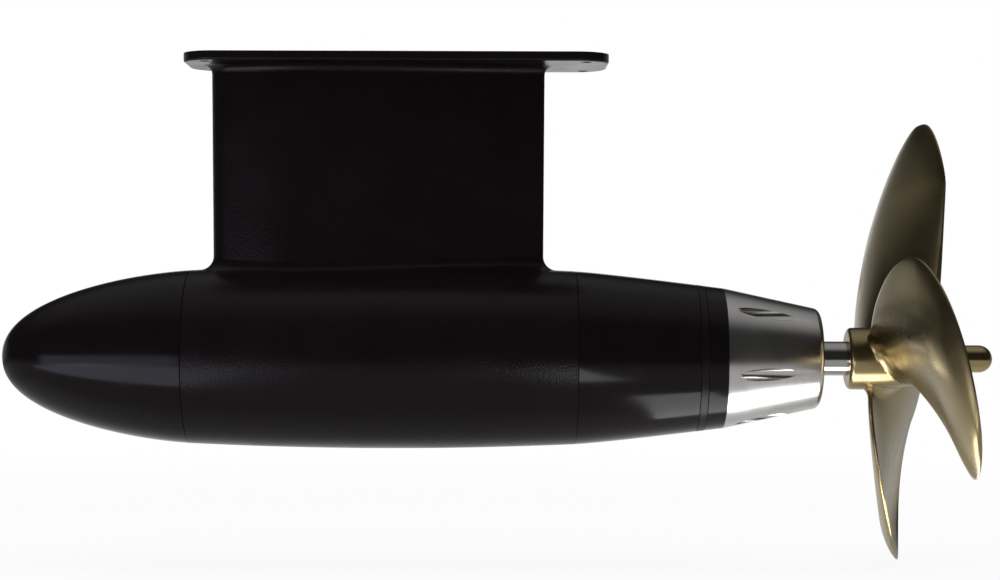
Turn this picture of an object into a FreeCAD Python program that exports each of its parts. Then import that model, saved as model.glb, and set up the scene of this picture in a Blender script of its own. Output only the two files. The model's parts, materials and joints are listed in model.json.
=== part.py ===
import FreeCAD, Part
import math
import os

from FreeCAD import Vector

# Electric pod drive: a sealed electric motor in a torpedo pod, hung from a hull flange by a foil strut,
# that turns a three-blade propeller. Lengths are in millimetres. The origin is the middle of the flange's
# hull face, +Z goes up into the hull and +X goes aft. Round pieces are drawn about the X axis and then
# lowered to the shaft axis.

# Where the pod hangs
hull_to_axis = 264.0
flange_middle_to_barrel_front = 181.0

# Pod skin, from the nose to the end cone
nose_length = 165.0
nose_fullness = 1.6
nose_side_fullness = 2.25
nose_seam_share = 0.066
nose_curve_points = 9
barrel_length = 338.4
tail_length = 105.6
isolating_ring_thickness = 6.8
carrier_rim_thickness = 16.6
end_cone_length = 86.0
shaft_showing = 23.6
seam_radius = 76.0
barrel_bulge = 4.0
carrier_rim_rear_radius = 61.6
tail_end_slope = 0.125
seam_chamfer = 0.4
end_cone_rear_radius = 43.5
end_cone_rim_round = 6.5
end_cone_dome = 2.4
end_cone_bore_clearance = 1.0

# Walls, bores and clearances
nose_wall = 7.0
nose_tip_wall = 16.0
motor_bore_radius = 67.0
spigot_bore_radius = 69.0
spigot_length = 22.0
tail_wall = 9.0
fit_clearance = 0.05
running_clearance = 0.05
groove_depth = 2.4
groove_width = 4.0
groove_from_edge = 8.0
ring_slot = 0.3
cut_margin = 1.0

# Strut and hull flange
flange_length = 370.0
flange_width = 100.0
flange_thickness = 8.0
flange_corner_radius = 28.0
flange_edge_round = 2.0
flange_bolt_hole_radius = 4.5
outer_bolt_spacing = 330.0
inner_bolt_spacing = 110.0
bolt_row_spacing = 74.0
strut_front_x = -163.0
strut_rear_inset = 27.6
strut_front_rake = 3.0
strut_rear_rake = 1.2
strut_thickness = 50.0
strut_edge_thickness = 5.0
strut_curve_points = 9
flange_fillet_radius = 7.5
pod_fillet_radius = 12.0

# Half thickness of a standard symmetrical foil: factors of the chord share's square root and its
# first four powers
foil_root_term = 0.2969
foil_terms = (-0.1260, -0.3516, 0.2843, -0.1036)
foil_scale = 5.0

# Cable way, grommet and gland plate in the hull face
duct_middle_x = -99.0
duct_length = 56.0
duct_width = 26.0
grommet_depth = 16.0
grommet_ledge = 3.0
power_cable_radius = 6.0
power_cable_count = 3
power_cable_pitch = 14.0
signal_cable_radius = 3.5
signal_cable_pitch = 12.5
gland_plate_length = 88.0
gland_plate_width = 46.0
gland_plate_thickness = 3.0
gland_window_margin = 2.0
round_end_margin = 0.1
gland_screw_radius = 2.0
gland_screw_head_radius = 3.6
gland_screw_length = 9.0
gland_screw_inset = 6.0

# Motor
stator_length = 190.0
stator_inner_radius = 38.0
stator_slots = 12
slot_depth = 17.0
tooth_width = 9.5
slot_opening = 3.5
slot_lip = 2.0
winding_slot_gap = 0.5
end_turn_length = 20.0
air_gap = 0.8
rotor_sleeve_thickness = 0.7
magnet_thickness = 3.6
magnet_count = 8
magnet_spacing = 1.5
rotor_key_width = 8.0
rotor_key_height = 7.0
rotor_key_length = 60.0
rotor_ring_thickness = 3.0
rotor_ring_radius = 25.0

# Shaft
shaft_radius = 15.0
rotor_seat_radius = 20.0
shaft_collar_radius = 24.0
shaft_collar_length = 6.0
shaft_front_stub = 1.5
shaft_thread_radius = 8.0
shaft_edge_chamfer = 1.0

# Tapered roller bearings: bore, outside and width of the front and the rear one
front_bearing_outer_radius = 31.0
front_bearing_width = 17.25
rear_bearing_bore_radius = 17.5
rear_bearing_outer_radius = 40.0
rear_bearing_width = 22.75
roller_count = 10
roller_half_angle = 2.0
race_angle = 13.0
roller_share = 0.145
roller_length_share = 0.60
cup_share = 0.80
cone_inset_share = 0.08
rib_share = 0.45
cage_gap = 1.2
cage_thickness = 1.6
lock_nut_thickness = 8.0
lock_nut_wall = 7.5
lock_nut_slots = 4
lock_nut_slot_width = 5.0
lock_nut_slot_depth = 2.5
bearing_seat_lip = 4.0
bearing_seat_wall = 7.0
lip_step = 5.0

# Front bearing shield and shaft position sensor
shield_thickness = 10.0
shield_gap = 8.0
front_bearing_recess = 2.75
spring_ring_thickness = 2.0
spring_ring_height = 5.0
spring_ring_groove = 1.5
sensor_post_radius = 4.0
sensor_post_count = 3
sensor_post_circle = 46.0
sensor_board_radius = 52.0
sensor_board_thickness = 1.6
sensor_gap = 2.0
sensor_magnet_radius = 8.0
sensor_magnet_thickness = 4.0

# Seal carrier and what it holds
web_offset = 3.0
web_thickness = 10.0
carrier_spigot_radius = 46.0
carrier_spigot_length = 20.0
bush_outer_radius = 21.0
bush_length = 22.0
bush_rim_radius = 24.0
bush_rim_thickness = 2.5
seal_outer_radius = 23.5
seal_width = 7.0
seal_lip_depth = 5.0
seal_step = 2.0
seal_washer_thickness = 2.0

# Screws through the end cone
cone_screw_count = 6
cone_screw_circle = 54.1
cone_screw_first_angle = -16.0
cone_screw_radius = 3.0
cone_screw_head_radius = 5.0
cone_screw_head_height = 6.0
cone_screw_hex_radius = 2.9
cone_pocket_clearance = 0.5
cone_pocket_floor = 6.0
cone_screw_hole_clearance = 0.3
cone_screw_grip = 15.0

# Propeller
hub_length = 86.0
hub_front_radius = 27.0
hub_rear_radius = 17.5
hub_middle_radius = 25.5
hub_edge_round = 4.0
shaft_taper_length = 78.0
taper_half_slope = 0.05
propeller_key_width = 8.0
propeller_key_height = 7.0
propeller_key_length = 52.0
propeller_radius = 215.9
blade_count = 3
blade_first_angle = -29.2
blade_root_thickness = 12.0
blade_tip_thickness = 2.2
blade_width = 194.7
blade_root_width = 60.0
blade_tip_width = 3.3
blade_widest_share = 0.716
blade_root_curve = 1.41
blade_tip_curve = 1.69
blade_root_share = 0.08
blade_middle_x = 59.9
blade_camber = 0.058
blade_edge_share = 0.12
blade_back_share = 0.75
blade_face_share = 0.13

# The blade's pitch ratio, skew in degrees and rake, at 0.4, 0.7 and 1.0 of the propeller's radius
blade_pitch_ratio = (0.55, 0.545, 0.43)
blade_skew = (-4.7, 0.0, 13.5)
blade_rake = (-8.6, 0.0, 13.4)
blade_sections = 13
blade_section_points = 6

# Domed nut and its tab washer, whose tabs are bent up against two of the nut's flats
tab_washer_thickness = 2.0
tab_washer_radius = 16.5
washer_tab_count = 2
washer_tab_width = 8.0
washer_tab_height = 6.0
nut_hex_length = 14.0
nut_hex_flat_radius = 13.5
nut_chamfer_slope = 0.5
nut_dome_radius = 12.0
nut_total_length = 40.0
nut_thread_depth = 28.0

# Places along the shaft axis that follow from the sizes
barrel_front_x = -flange_middle_to_barrel_front
nose_tip_x = barrel_front_x - nose_length
barrel_rear_x = barrel_front_x + barrel_length
strut_rear_x = barrel_rear_x - strut_rear_inset
tail_rear_x = barrel_rear_x + tail_length
carrier_rim_x = tail_rear_x + isolating_ring_thickness
end_cone_x = carrier_rim_x + carrier_rim_thickness
end_cone_rear_x = end_cone_x + end_cone_length
hub_front_x = end_cone_rear_x + shaft_showing
hub_rear_x = hub_front_x + hub_length
nose_spigot_rear_x = barrel_front_x + spigot_length
tail_spigot_front_x = barrel_rear_x - spigot_length

# Seats inside the barrel and the tail
shield_front_x = nose_spigot_rear_x + shield_gap
shield_rear_x = shield_front_x + shield_thickness
front_lip_x = shield_front_x + front_bearing_recess + front_bearing_width
front_race_back_x = front_lip_x - front_bearing_width
shaft_front_x = front_race_back_x - lock_nut_thickness - shaft_front_stub
sensor_magnet_x = shaft_front_x - sensor_magnet_thickness
sensor_board_rear_x = sensor_magnet_x - sensor_gap
stator_middle_x = (shield_rear_x + tail_spigot_front_x) / 2
stator_front_x = stator_middle_x - stator_length / 2
stator_rear_x = stator_middle_x + stator_length / 2
web_front_x = barrel_rear_x + web_offset
rear_lip_x = web_front_x + bearing_seat_lip
rear_race_back_x = rear_lip_x + rear_bearing_width
rear_cup_end_x = rear_lip_x + cup_share * rear_bearing_width
web_rear_x = web_front_x + web_thickness
carrier_front_x = tail_rear_x - carrier_spigot_length
seal_pocket_x = end_cone_x - 2 * seal_width - seal_washer_thickness
spigot_radius = spigot_bore_radius - fit_clearance
rotor_core_radius = stator_inner_radius - air_gap - rotor_sleeve_thickness - magnet_thickness
shaft_taper_rear_x = hub_front_x + shaft_taper_length
nut_front_x = hub_rear_x + tab_washer_thickness


def point(x, r):
    """A point of an outline, at the distance r from the shaft axis."""
    return Vector(x, 0, r)


def outline(*items):
    """The closed outline through points (x, r) and ready edges, which run in the outline's direction."""
    edges = []
    ends = []
    for item in items:
        if isinstance(item, tuple):
            ends.append((point(*item), point(*item)))
        else:
            edges.append(item)
            ends.append((item.valueAt(item.FirstParameter), item.valueAt(item.LastParameter)))
    for (_, here), (there, _) in zip(ends, ends[1:] + ends[:1]):
        if here.distanceToPoint(there) > 1e-6:
            edges.append(Part.LineSegment(here, there).toShape())
    return Part.Wire(Part.__sortEdges__(edges))


def turned(*items):
    """The solid turned about the shaft axis from an outline."""
    return Part.Face(outline(*items)).revolve(Vector(0, 0, 0), Vector(1, 0, 0), 360)


def ring(front_x, rear_x, inner_radius, outer_radius):
    """A plain ring about the shaft axis."""
    return turned((front_x, inner_radius), (front_x, outer_radius),
                  (rear_x, outer_radius), (rear_x, inner_radius))


def rod(front_x, rear_x, radius, y=0.0, z=0.0):
    """A round rod parallel to the shaft axis."""
    return Part.makeCylinder(radius, rear_x - front_x, Vector(front_x, y, z), Vector(1, 0, 0))


def block(front_x, rear_x, low_y, high_y, low_z, high_z):
    """A block between two corners."""
    corner = Vector(front_x, low_y, low_z)
    return Part.makeBox(rear_x - front_x, high_y - low_y, high_z - low_z, corner)


def hexagon_bar(x, length, corner_radius):
    """A six-sided bar along the shaft axis, from x onwards."""
    corners = []
    for index in range(7):
        angle = math.radians(60 * index)
        corners.append(Vector(x, corner_radius * math.cos(angle), corner_radius * math.sin(angle)))
    return Part.Face(Part.makePolygon(corners)).extrude(Vector(length, 0, 0))


def around(shape, count, first_angle=0.0):
    """Copies of a shape, evenly turned about the shaft axis."""
    copies = []
    for index in range(count):
        copy = shape.copy()
        copy.rotate(Vector(0, 0, 0), Vector(1, 0, 0), first_angle + index * 360.0 / count)
        copies.append(copy)
    return copies


def chamfered(body, *places):
    """A turned body with a fine chamfer on its circular edges at the places (x, radius)."""
    rims = []
    for x, radius in places:
        for edge in body.Edges:
            box = edge.BoundBox
            if abs(box.XMin - x) + abs(box.XMax - x) < 1e-3 and abs(box.ZMax - radius) < 1e-3:
                rims.append(edge)
    return body.makeChamfer(seam_chamfer, rims)


def fused(shapes):
    """One shape from several that meet."""
    return shapes[0].multiFuse(shapes[1:]).removeSplitter()


def save(name, shape):
    """Lower a shape to the shaft axis and write it as the sub-part called name."""
    placed = shape.copy()
    placed.translate(Vector(0, 0, -hull_to_axis))
    export(name, placed)


def export(name, shape):
    """Write a shape that is already in its place."""
    solids = shape.Solids
    body = solids[0] if len(solids) == 1 else Part.makeCompound(solids)
    body.exportStep("parts/" + name + ".step")
    print(name, len(solids), round(body.Volume), "valid" if body.isValid() else "BROKEN")


# Nose cone: a blunt curve that meets the barrel almost in line, screwed in by its spigot


def nose_curve(tip_x, rear_x, rear_radius):
    """Edge along the nose's curve, from its tip on the axis to its rear edge."""
    def height(share):
        return (1 - share ** nose_fullness) ** (1 / nose_side_fullness)
    points = []
    for step in range(nose_curve_points):
        travel = 1 - math.cos(math.pi / 2 * step / (nose_curve_points - 1))
        share = 1 - travel * (1 - nose_seam_share)
        radius = rear_radius * height(share) / height(nose_seam_share)
        points.append(point(tip_x + travel * (rear_x - tip_x), radius))
    curve = Part.BSplineCurve()
    curve.interpolate(points)
    return curve.toShape()


def reversed_edge(edge):
    """The same edge, run the other way."""
    curve = edge.Curve.copy()
    curve.reverse()
    return curve.toShape()


def spigot_groove(middle_x):
    """Corner points of an O-ring groove in a spigot, from front to rear."""
    floor = spigot_radius - groove_depth
    front = middle_x - groove_width / 2
    rear = middle_x + groove_width / 2
    return [(front, spigot_radius), (front, floor), (rear, floor), (rear, spigot_radius)]


def o_ring(middle_x, sealing_radius):
    """An O-ring, squeezed flat between its groove and the bore that it seals."""
    half_width = groove_width / 2 - ring_slot
    inner = sealing_radius - groove_depth
    return ring(middle_x - half_width, middle_x + half_width, inner, sealing_radius)


nose_groove_x = barrel_front_x + groove_from_edge
tail_groove_x = barrel_rear_x - groove_from_edge
carrier_groove_x = carrier_front_x + groove_from_edge
nose_inner_radius = spigot_radius - nose_wall


def nose_cone():
    """The hollow nose with its spigot."""
    skin = nose_curve(nose_tip_x, barrel_front_x, seam_radius)
    hollow = reversed_edge(nose_curve(nose_tip_x + nose_tip_wall, nose_spigot_rear_x, nose_inner_radius))
    body = turned(skin, (barrel_front_x, spigot_radius), *spigot_groove(nose_groove_x),
                  (nose_spigot_rear_x, spigot_radius), hollow)
    return chamfered(body, (barrel_front_x, seam_radius))


# Tail skin: one curve from the barrel's seam to the end cone, shared by every piece along it
barrel_end_slope = 4 * barrel_bulge / barrel_length
tail_skin_length = end_cone_x - barrel_rear_x
tail_meeting_x = barrel_rear_x + (
    (carrier_rim_rear_radius + tail_end_slope * tail_skin_length - seam_radius)
    / (tail_end_slope - barrel_end_slope))
tail_meeting_radius = seam_radius - barrel_end_slope * (tail_meeting_x - barrel_rear_x)


def tail_skin_share(x):
    """How far along the tail curve it reaches x, from 0 to 1."""
    bend = barrel_rear_x - 2 * tail_meeting_x + end_cone_x
    climb = 2 * (tail_meeting_x - barrel_rear_x)
    short = barrel_rear_x - x
    return (-climb + math.sqrt(climb ** 2 - 4 * bend * short)) / (2 * bend)


def tail_skin_radius(x):
    """Radius of the tail's skin at x."""
    share = tail_skin_share(x)
    start = seam_radius * (1 - share) ** 2
    middle = 2 * tail_meeting_radius * share * (1 - share)
    return start + middle + carrier_rim_rear_radius * share ** 2


def tail_skin(front_x, rear_x):
    """Edge along the tail's skin between two places."""
    curve = Part.BezierCurve()
    curve.setPoles([point(barrel_rear_x, seam_radius), point(tail_meeting_x, tail_meeting_radius),
                    point(end_cone_x, carrier_rim_rear_radius)])
    curve.segment(tail_skin_share(front_x), tail_skin_share(rear_x))
    return curve.toShape()


# Holes for the long screws that hold the end cone, the carrier and the isolating ring on the tail


def screw_copies(shape):
    """Copies of a shape at each of the end cone's screws, when it is drawn straight below the axis."""
    return around(shape, cone_screw_count, cone_screw_first_angle)


def screw_holes(front_x, rear_x):
    """Clearance holes for the end cone's screws."""
    radius = cone_screw_radius + cone_screw_hole_clearance
    return screw_copies(rod(front_x, rear_x, radius, z=-cone_screw_circle))


cone_screw_tip_x = tail_rear_x - cone_screw_grip


def tail_housing():
    """The tapered tail with its spigot, the web that carries the rear bearing and the bolting rim."""
    seat = rear_bearing_outer_radius + fit_clearance
    hub = seat + bearing_seat_wall
    ring_rear_x = rear_cup_end_x + spring_ring_thickness + ring_slot
    rim_front_x = carrier_front_x - web_thickness / 2
    carrier_bore = carrier_spigot_radius + fit_clearance
    inner = spigot_radius - tail_wall
    body = turned(
        (tail_spigot_front_x, inner), (tail_spigot_front_x, spigot_radius), *spigot_groove(tail_groove_x),
        (barrel_rear_x, spigot_radius), tail_skin(barrel_rear_x, tail_rear_x),
        (tail_rear_x, carrier_bore), (rim_front_x, carrier_bore),
        (rim_front_x, tail_skin_radius(rim_front_x) - tail_wall),
        (web_rear_x, tail_skin_radius(web_rear_x) - tail_wall), (web_rear_x, hub), (rear_race_back_x, hub),
        (rear_race_back_x, seat), (ring_rear_x, seat), (ring_rear_x, seat + spring_ring_groove),
        (rear_cup_end_x, seat + spring_ring_groove), (rear_cup_end_x, seat),
        (rear_lip_x, seat), (rear_lip_x, seat - lip_step), (web_front_x, seat - lip_step),
        (web_front_x, inner))
    body = chamfered(body, (barrel_rear_x, seam_radius), (tail_rear_x, tail_skin_radius(tail_rear_x)))
    thread = rod(cone_screw_tip_x, tail_rear_x, cone_screw_radius, z=-cone_screw_circle)
    return body.cut(screw_copies(thread))


def isolating_ring():
    """The thin plastic ring that keeps the stainless end away from the aluminium tail."""
    inner = carrier_spigot_radius + fit_clearance
    body = turned((tail_rear_x, inner), tail_skin(tail_rear_x, carrier_rim_x), (carrier_rim_x, inner))
    body = chamfered(body, (tail_rear_x, tail_skin_radius(tail_rear_x)),
                     (carrier_rim_x, tail_skin_radius(carrier_rim_x)))
    return body.cut(screw_holes(tail_rear_x, carrier_rim_x))


def seal_carrier():
    """The carrier of the aft bush and the two shaft seals, with the black rim that shows."""
    floor = carrier_spigot_radius - groove_depth
    groove_front = carrier_groove_x - groove_width / 2
    groove_rear = carrier_groove_x + groove_width / 2
    bush_bore = bush_outer_radius + fit_clearance
    bush_rear_x = carrier_front_x + bush_length + ring_slot
    body = turned(
        (carrier_front_x, bush_bore), (carrier_front_x, carrier_spigot_radius),
        (groove_front, carrier_spigot_radius), (groove_front, floor), (groove_rear, floor),
        (groove_rear, carrier_spigot_radius), (carrier_rim_x, carrier_spigot_radius),
        tail_skin(carrier_rim_x, end_cone_x), (end_cone_x, seal_outer_radius + fit_clearance),
        (seal_pocket_x, seal_outer_radius + fit_clearance), (seal_pocket_x, shaft_radius + seal_step),
        (bush_rear_x, shaft_radius + seal_step), (bush_rear_x, bush_bore))
    body = chamfered(body, (carrier_rim_x, tail_skin_radius(carrier_rim_x)),
                     (end_cone_x, carrier_rim_rear_radius))
    return body.cut(screw_holes(carrier_rim_x, end_cone_x))


def aft_bush():
    """The bronze bush that steadies the shaft behind the seals."""
    bore = shaft_radius + running_clearance
    rear_x = carrier_front_x + bush_length
    rim_x = carrier_front_x - bush_rim_thickness
    return turned((rim_x, bore), (rim_x, bush_rim_radius), (carrier_front_x, bush_rim_radius),
                  (carrier_front_x, bush_outer_radius), (rear_x, bush_outer_radius), (rear_x, bore))


def lip_seal(front_x):
    """A shaft seal: a rubber ring whose lip points aft and rides on the shaft."""
    rear_x = front_x + seal_width
    lip_x = front_x + seal_lip_depth
    shoulder = (shaft_radius + seal_outer_radius) / 2
    return turned((front_x, shoulder), (front_x, seal_outer_radius), (rear_x, seal_outer_radius),
                  (rear_x, shoulder), (lip_x, shaft_radius + running_clearance))


def end_cone():
    """The stainless cone, with a scalloped pocket for each screw and a slightly domed end."""
    bore = shaft_radius + end_cone_bore_clearance
    edge_x = end_cone_rear_x - end_cone_dome
    body = turned((end_cone_x, bore), (end_cone_x, carrier_rim_rear_radius), (edge_x, end_cone_rear_radius),
                  (end_cone_rear_x, bore))
    rim = [edge for edge in body.Edges if edge.BoundBox.XMin > edge_x - 1e-3
           and abs(edge.BoundBox.ZMax - end_cone_rear_radius) < 1e-3]
    body = chamfered(body.makeFillet(end_cone_rim_round, rim), (end_cone_x, carrier_rim_rear_radius))
    pocket_radius = cone_screw_head_radius + cone_pocket_clearance
    pocket = rod(cone_pocket_x, end_cone_rear_x, pocket_radius, z=-cone_screw_circle)
    return body.cut(screw_copies(pocket)).cut(screw_holes(end_cone_x, cone_pocket_x))


cone_pocket_x = end_cone_x + cone_pocket_floor


def cone_screw():
    """A long socket-head cap screw, straight below the axis."""
    head_rear_x = cone_pocket_x + cone_screw_head_height
    shank = rod(cone_screw_tip_x, cone_pocket_x, cone_screw_radius, z=-cone_screw_circle)
    head = rod(cone_pocket_x, head_rear_x, cone_screw_head_radius, z=-cone_screw_circle)
    socket = hexagon_bar(head_rear_x, -cone_screw_head_height / 2, cone_screw_hex_radius)
    socket.translate(Vector(0, 0, -cone_screw_circle))
    return shank.fuse(head).cut(socket)


# Tapered roller bearings, drawn with x = 0 at the back of the outer ring and opening towards +x
class RollerBearing:
    """Outer ring, inner ring and caged rollers of one tapered roller bearing."""

    def __init__(self, bore_radius, outer_radius, width):
        self.bore = bore_radius
        self.outer = outer_radius
        self.width = width
        self.roller_radius = roller_share * (outer_radius - bore_radius)
        self.roller_length = roller_length_share * width
        self.pitch_radius = (outer_radius + bore_radius) / 2
        self.tilt = math.radians(race_angle - roller_half_angle)
        self.along = (math.cos(self.tilt), math.sin(self.tilt))
        self.out = (-math.sin(self.tilt), math.cos(self.tilt))

    def at(self, travel, lift):
        """The point a travel along the roller's own axis and a lift away from it."""
        x = self.width / 2 + travel * self.along[0] + lift * self.out[0]
        return x, self.pitch_radius + travel * self.along[1] + lift * self.out[1]

    def roller_size(self, travel):
        """Radius of a roller a travel from its middle."""
        return self.roller_radius + travel * math.tan(math.radians(roller_half_angle))

    def race(self, x, side):
        """Radius at x of the outer ring's race (side 1) or the inner ring's (side -1)."""
        half = self.roller_length / 2
        first = self.at(-half, side * (self.roller_size(-half) + running_clearance))
        last = self.at(half, side * (self.roller_size(half) + running_clearance))
        return first[1] + (last[1] - first[1]) * (x - first[0]) / (last[0] - first[0])

    def outer_ring(self):
        """The outer ring, thick end at x = 0."""
        rear = cup_share * self.width
        return turned((0, self.race(0, 1)), (0, self.outer), (rear, self.outer), (rear, self.race(rear, 1)))

    def inner_ring(self):
        """The inner ring, with the rib at its large end that guides the rollers."""
        rib_travel = self.roller_length / 2 + cage_gap
        size = self.roller_size(rib_travel)
        foot = self.at(rib_travel, -size - running_clearance)
        top = self.at(rib_travel, -rib_share * size)
        front = cone_inset_share * self.width
        bore = self.bore + fit_clearance
        return turned((front, bore), (front, self.race(front, -1)), foot, top, (self.width, top[1]),
                      (self.width, bore))

    def rollers(self):
        """The rollers in their cage, one piece."""
        half = self.roller_length / 2
        start = self.at(-half, 0)
        axis = Vector(self.along[0], 0, self.along[1])
        roller = Part.makeCone(self.roller_size(-half), self.roller_size(half), self.roller_length,
                               point(*start), axis)
        reach = half + cage_gap / 2
        thick = cage_thickness / 2
        cage = turned(self.at(-reach, thick), self.at(reach, thick), self.at(reach, -thick),
                      self.at(-reach, -thick))
        return cage.multiFuse(around(roller, roller_count))


front_bearing = RollerBearing(shaft_radius, front_bearing_outer_radius, front_bearing_width)
rear_bearing = RollerBearing(rear_bearing_bore_radius, rear_bearing_outer_radius, rear_bearing_width)


def at_front(shape):
    """Set a bearing piece in the front shield, opening towards the nose."""
    placed = shape.copy()
    placed.rotate(Vector(0, 0, 0), Vector(0, 0, 1), 180)
    placed.translate(Vector(front_lip_x, 0, 0))
    return placed


def at_rear(shape):
    """Set a bearing piece in the tail, opening towards the propeller."""
    placed = shape.copy()
    placed.translate(Vector(rear_lip_x, 0, 0))
    return placed


def lock_nut(front_x, thread_radius):
    """A round lock nut with four spanner slots."""
    outer = thread_radius + lock_nut_wall
    rear_x = front_x + lock_nut_thickness
    half_slot = lock_nut_slot_width / 2
    slot = block(front_x, rear_x, -half_slot, half_slot,
                 outer - lock_nut_slot_depth, outer + cut_margin)
    body = ring(front_x, rear_x, thread_radius + fit_clearance, outer)
    return body.cut(around(slot, lock_nut_slots))


def front_shield():
    """The shield that closes the motor and carries the front bearing and the sensor's posts."""
    seat = front_bearing_outer_radius + fit_clearance
    hub = seat + bearing_seat_wall
    hub_rear_x = front_lip_x + bearing_seat_lip
    plate = turned((shield_front_x, seat), (shield_front_x, spigot_radius), (shield_rear_x, spigot_radius),
                   (shield_rear_x, hub), (hub_rear_x, hub), (hub_rear_x, seat - lip_step),
                   (front_lip_x, seat - lip_step), (front_lip_x, seat))
    post = rod(sensor_board_rear_x, shield_front_x, sensor_post_radius, z=sensor_post_circle)
    return plate.multiFuse(around(post, sensor_post_count))


def stator_core():
    """The laminated core: twelve teeth with shoes, inside a yoke."""
    slot_inner = stator_inner_radius + slot_lip
    body = ring(stator_front_x, stator_rear_x, stator_inner_radius, motor_bore_radius - fit_clearance)
    slots = slot_bars(stator_front_x, stator_rear_x, slot_inner, slot_inner + slot_depth, 0.0)
    mouth = block(stator_front_x, stator_rear_x, -slot_opening / 2, slot_opening / 2,
                  stator_inner_radius - cut_margin, slot_inner + cut_margin)
    return body.cut(slots).cut(around(mouth, stator_slots))


def slot_bars(front_x, rear_x, inner_radius, outer_radius, gap):
    """Bars that fill the slots between parallel-sided teeth, less a gap on each side."""
    half_tooth = tooth_width / 2 + gap
    tooth = block(front_x, rear_x, -half_tooth, half_tooth, inner_radius / 2, outer_radius + cut_margin)
    half_turn = 180.0 / stator_slots
    return ring(front_x, rear_x, inner_radius, outer_radius).cut(around(tooth, stator_slots, half_turn))


def stator_windings():
    """Coils: bars in the slots, joined by a ring of end turns on each side."""
    inner = stator_inner_radius + slot_lip + winding_slot_gap
    outer = inner + slot_depth - 2 * winding_slot_gap
    front_x = stator_front_x - winding_slot_gap
    rear_x = stator_rear_x + winding_slot_gap
    bars = slot_bars(front_x, rear_x, inner, outer, winding_slot_gap)
    front_turns = ring(front_x - end_turn_length, front_x, inner, outer)
    rear_turns = ring(rear_x, rear_x + end_turn_length, inner, outer)
    return fused([front_turns, rear_turns] + bars.Solids)


def parallel_key(middle_x, length, width, low_radius, high_radius):
    """A key with rounded ends, above the shaft axis."""
    half = length / 2 - width / 2
    bar = block(middle_x - half, middle_x + half, -width / 2, width / 2, low_radius, high_radius)
    ends = []
    for side in (-1, 1):
        foot = Vector(middle_x + side * half, 0, low_radius)
        ends.append(Part.makeCylinder(width / 2, high_radius - low_radius, foot))
    return fused([bar] + ends)


rotor_key_low = rotor_seat_radius - rotor_key_height / 2
rotor_key_high = rotor_seat_radius + rotor_key_height / 2


def rotor_key(gap=0.0):
    """The key between the shaft and the rotor core, or with a gap the room that it needs."""
    return parallel_key(stator_middle_x, rotor_key_length + 2 * gap, rotor_key_width + 2 * gap,
                        rotor_key_low - gap, rotor_key_high + gap)


def propeller_key(gap=0.0):
    """The key between the shaft's taper and the propeller, or with a gap the room that it needs."""
    middle_x = hub_front_x + shaft_taper_length / 2
    high = shaft_taper_radius(middle_x) + propeller_key_height / 2
    return parallel_key(middle_x, propeller_key_length + 2 * gap, propeller_key_width + 2 * gap,
                        high - propeller_key_height - gap, high + gap)


def shaft_taper_radius(x):
    """Radius of the shaft's propeller taper at x."""
    return shaft_radius - taper_half_slope * (x - hub_front_x)


def rotor_core():
    """The rotor's laminated core, keyed to the shaft."""
    core = ring(stator_front_x, stator_rear_x, rotor_seat_radius + fit_clearance, rotor_core_radius)
    keyway = block(stator_front_x, stator_rear_x, -rotor_key_width / 2 - fit_clearance,
                   rotor_key_width / 2 + fit_clearance, rotor_key_low, rotor_key_high + fit_clearance)
    return core.cut(keyway)


def rotor_magnets():
    """Curved magnets round the core, with a small space between neighbours."""
    inner = rotor_core_radius + fit_clearance
    outer = rotor_core_radius + magnet_thickness - fit_clearance
    space = block(stator_front_x, stator_rear_x, -magnet_spacing / 2, magnet_spacing / 2,
                  inner / 2, outer + cut_margin)
    return ring(stator_front_x, stator_rear_x, inner, outer).cut(around(space, magnet_count))


def rotor_sleeve():
    """The thin sleeve that holds the magnets."""
    inner = rotor_core_radius + magnet_thickness
    return ring(stator_front_x, stator_rear_x, inner, inner + rotor_sleeve_thickness)


def propeller_shaft():
    """The shaft, from the sensor's end to the propeller nut's thread."""
    front_seat_x = front_lip_x - cone_inset_share * front_bearing_width
    thread_end_x = nut_front_x + nut_thread_depth - shaft_edge_chamfer
    ring_floor = rotor_seat_radius - spring_ring_groove
    ring_front_x = stator_front_x - rotor_ring_thickness - ring_slot
    collar_rear_x = stator_rear_x + shaft_collar_length
    rear_seat_x = rear_lip_x - ring_slot
    rear_seat_end_x = rear_race_back_x + lock_nut_thickness + shaft_edge_chamfer
    body = turned(
        (shaft_front_x, 0), (shaft_front_x, shaft_radius - shaft_edge_chamfer),
        (shaft_front_x + shaft_edge_chamfer, shaft_radius), (front_seat_x, shaft_radius),
        (front_seat_x, rotor_seat_radius), (ring_front_x, rotor_seat_radius), (ring_front_x, ring_floor),
        (stator_front_x, ring_floor), (stator_front_x, rotor_seat_radius),
        (stator_rear_x, rotor_seat_radius), (stator_rear_x, shaft_collar_radius),
        (collar_rear_x, shaft_collar_radius), (collar_rear_x, rotor_seat_radius),
        (rear_seat_x, rotor_seat_radius), (rear_seat_x, rear_bearing_bore_radius),
        (rear_seat_end_x, rear_bearing_bore_radius), (rear_seat_end_x, shaft_radius),
        (hub_front_x, shaft_radius), (shaft_taper_rear_x, shaft_taper_radius(shaft_taper_rear_x)),
        (shaft_taper_rear_x, shaft_thread_radius), (thread_end_x, shaft_thread_radius),
        (thread_end_x + shaft_edge_chamfer, shaft_thread_radius - shaft_edge_chamfer),
        (thread_end_x + shaft_edge_chamfer, 0))
    return body.cut(rotor_key(fit_clearance)).cut(propeller_key(fit_clearance))


# Propeller blades: each section lies on a cylinder about the shaft, tilted to its pitch


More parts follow.
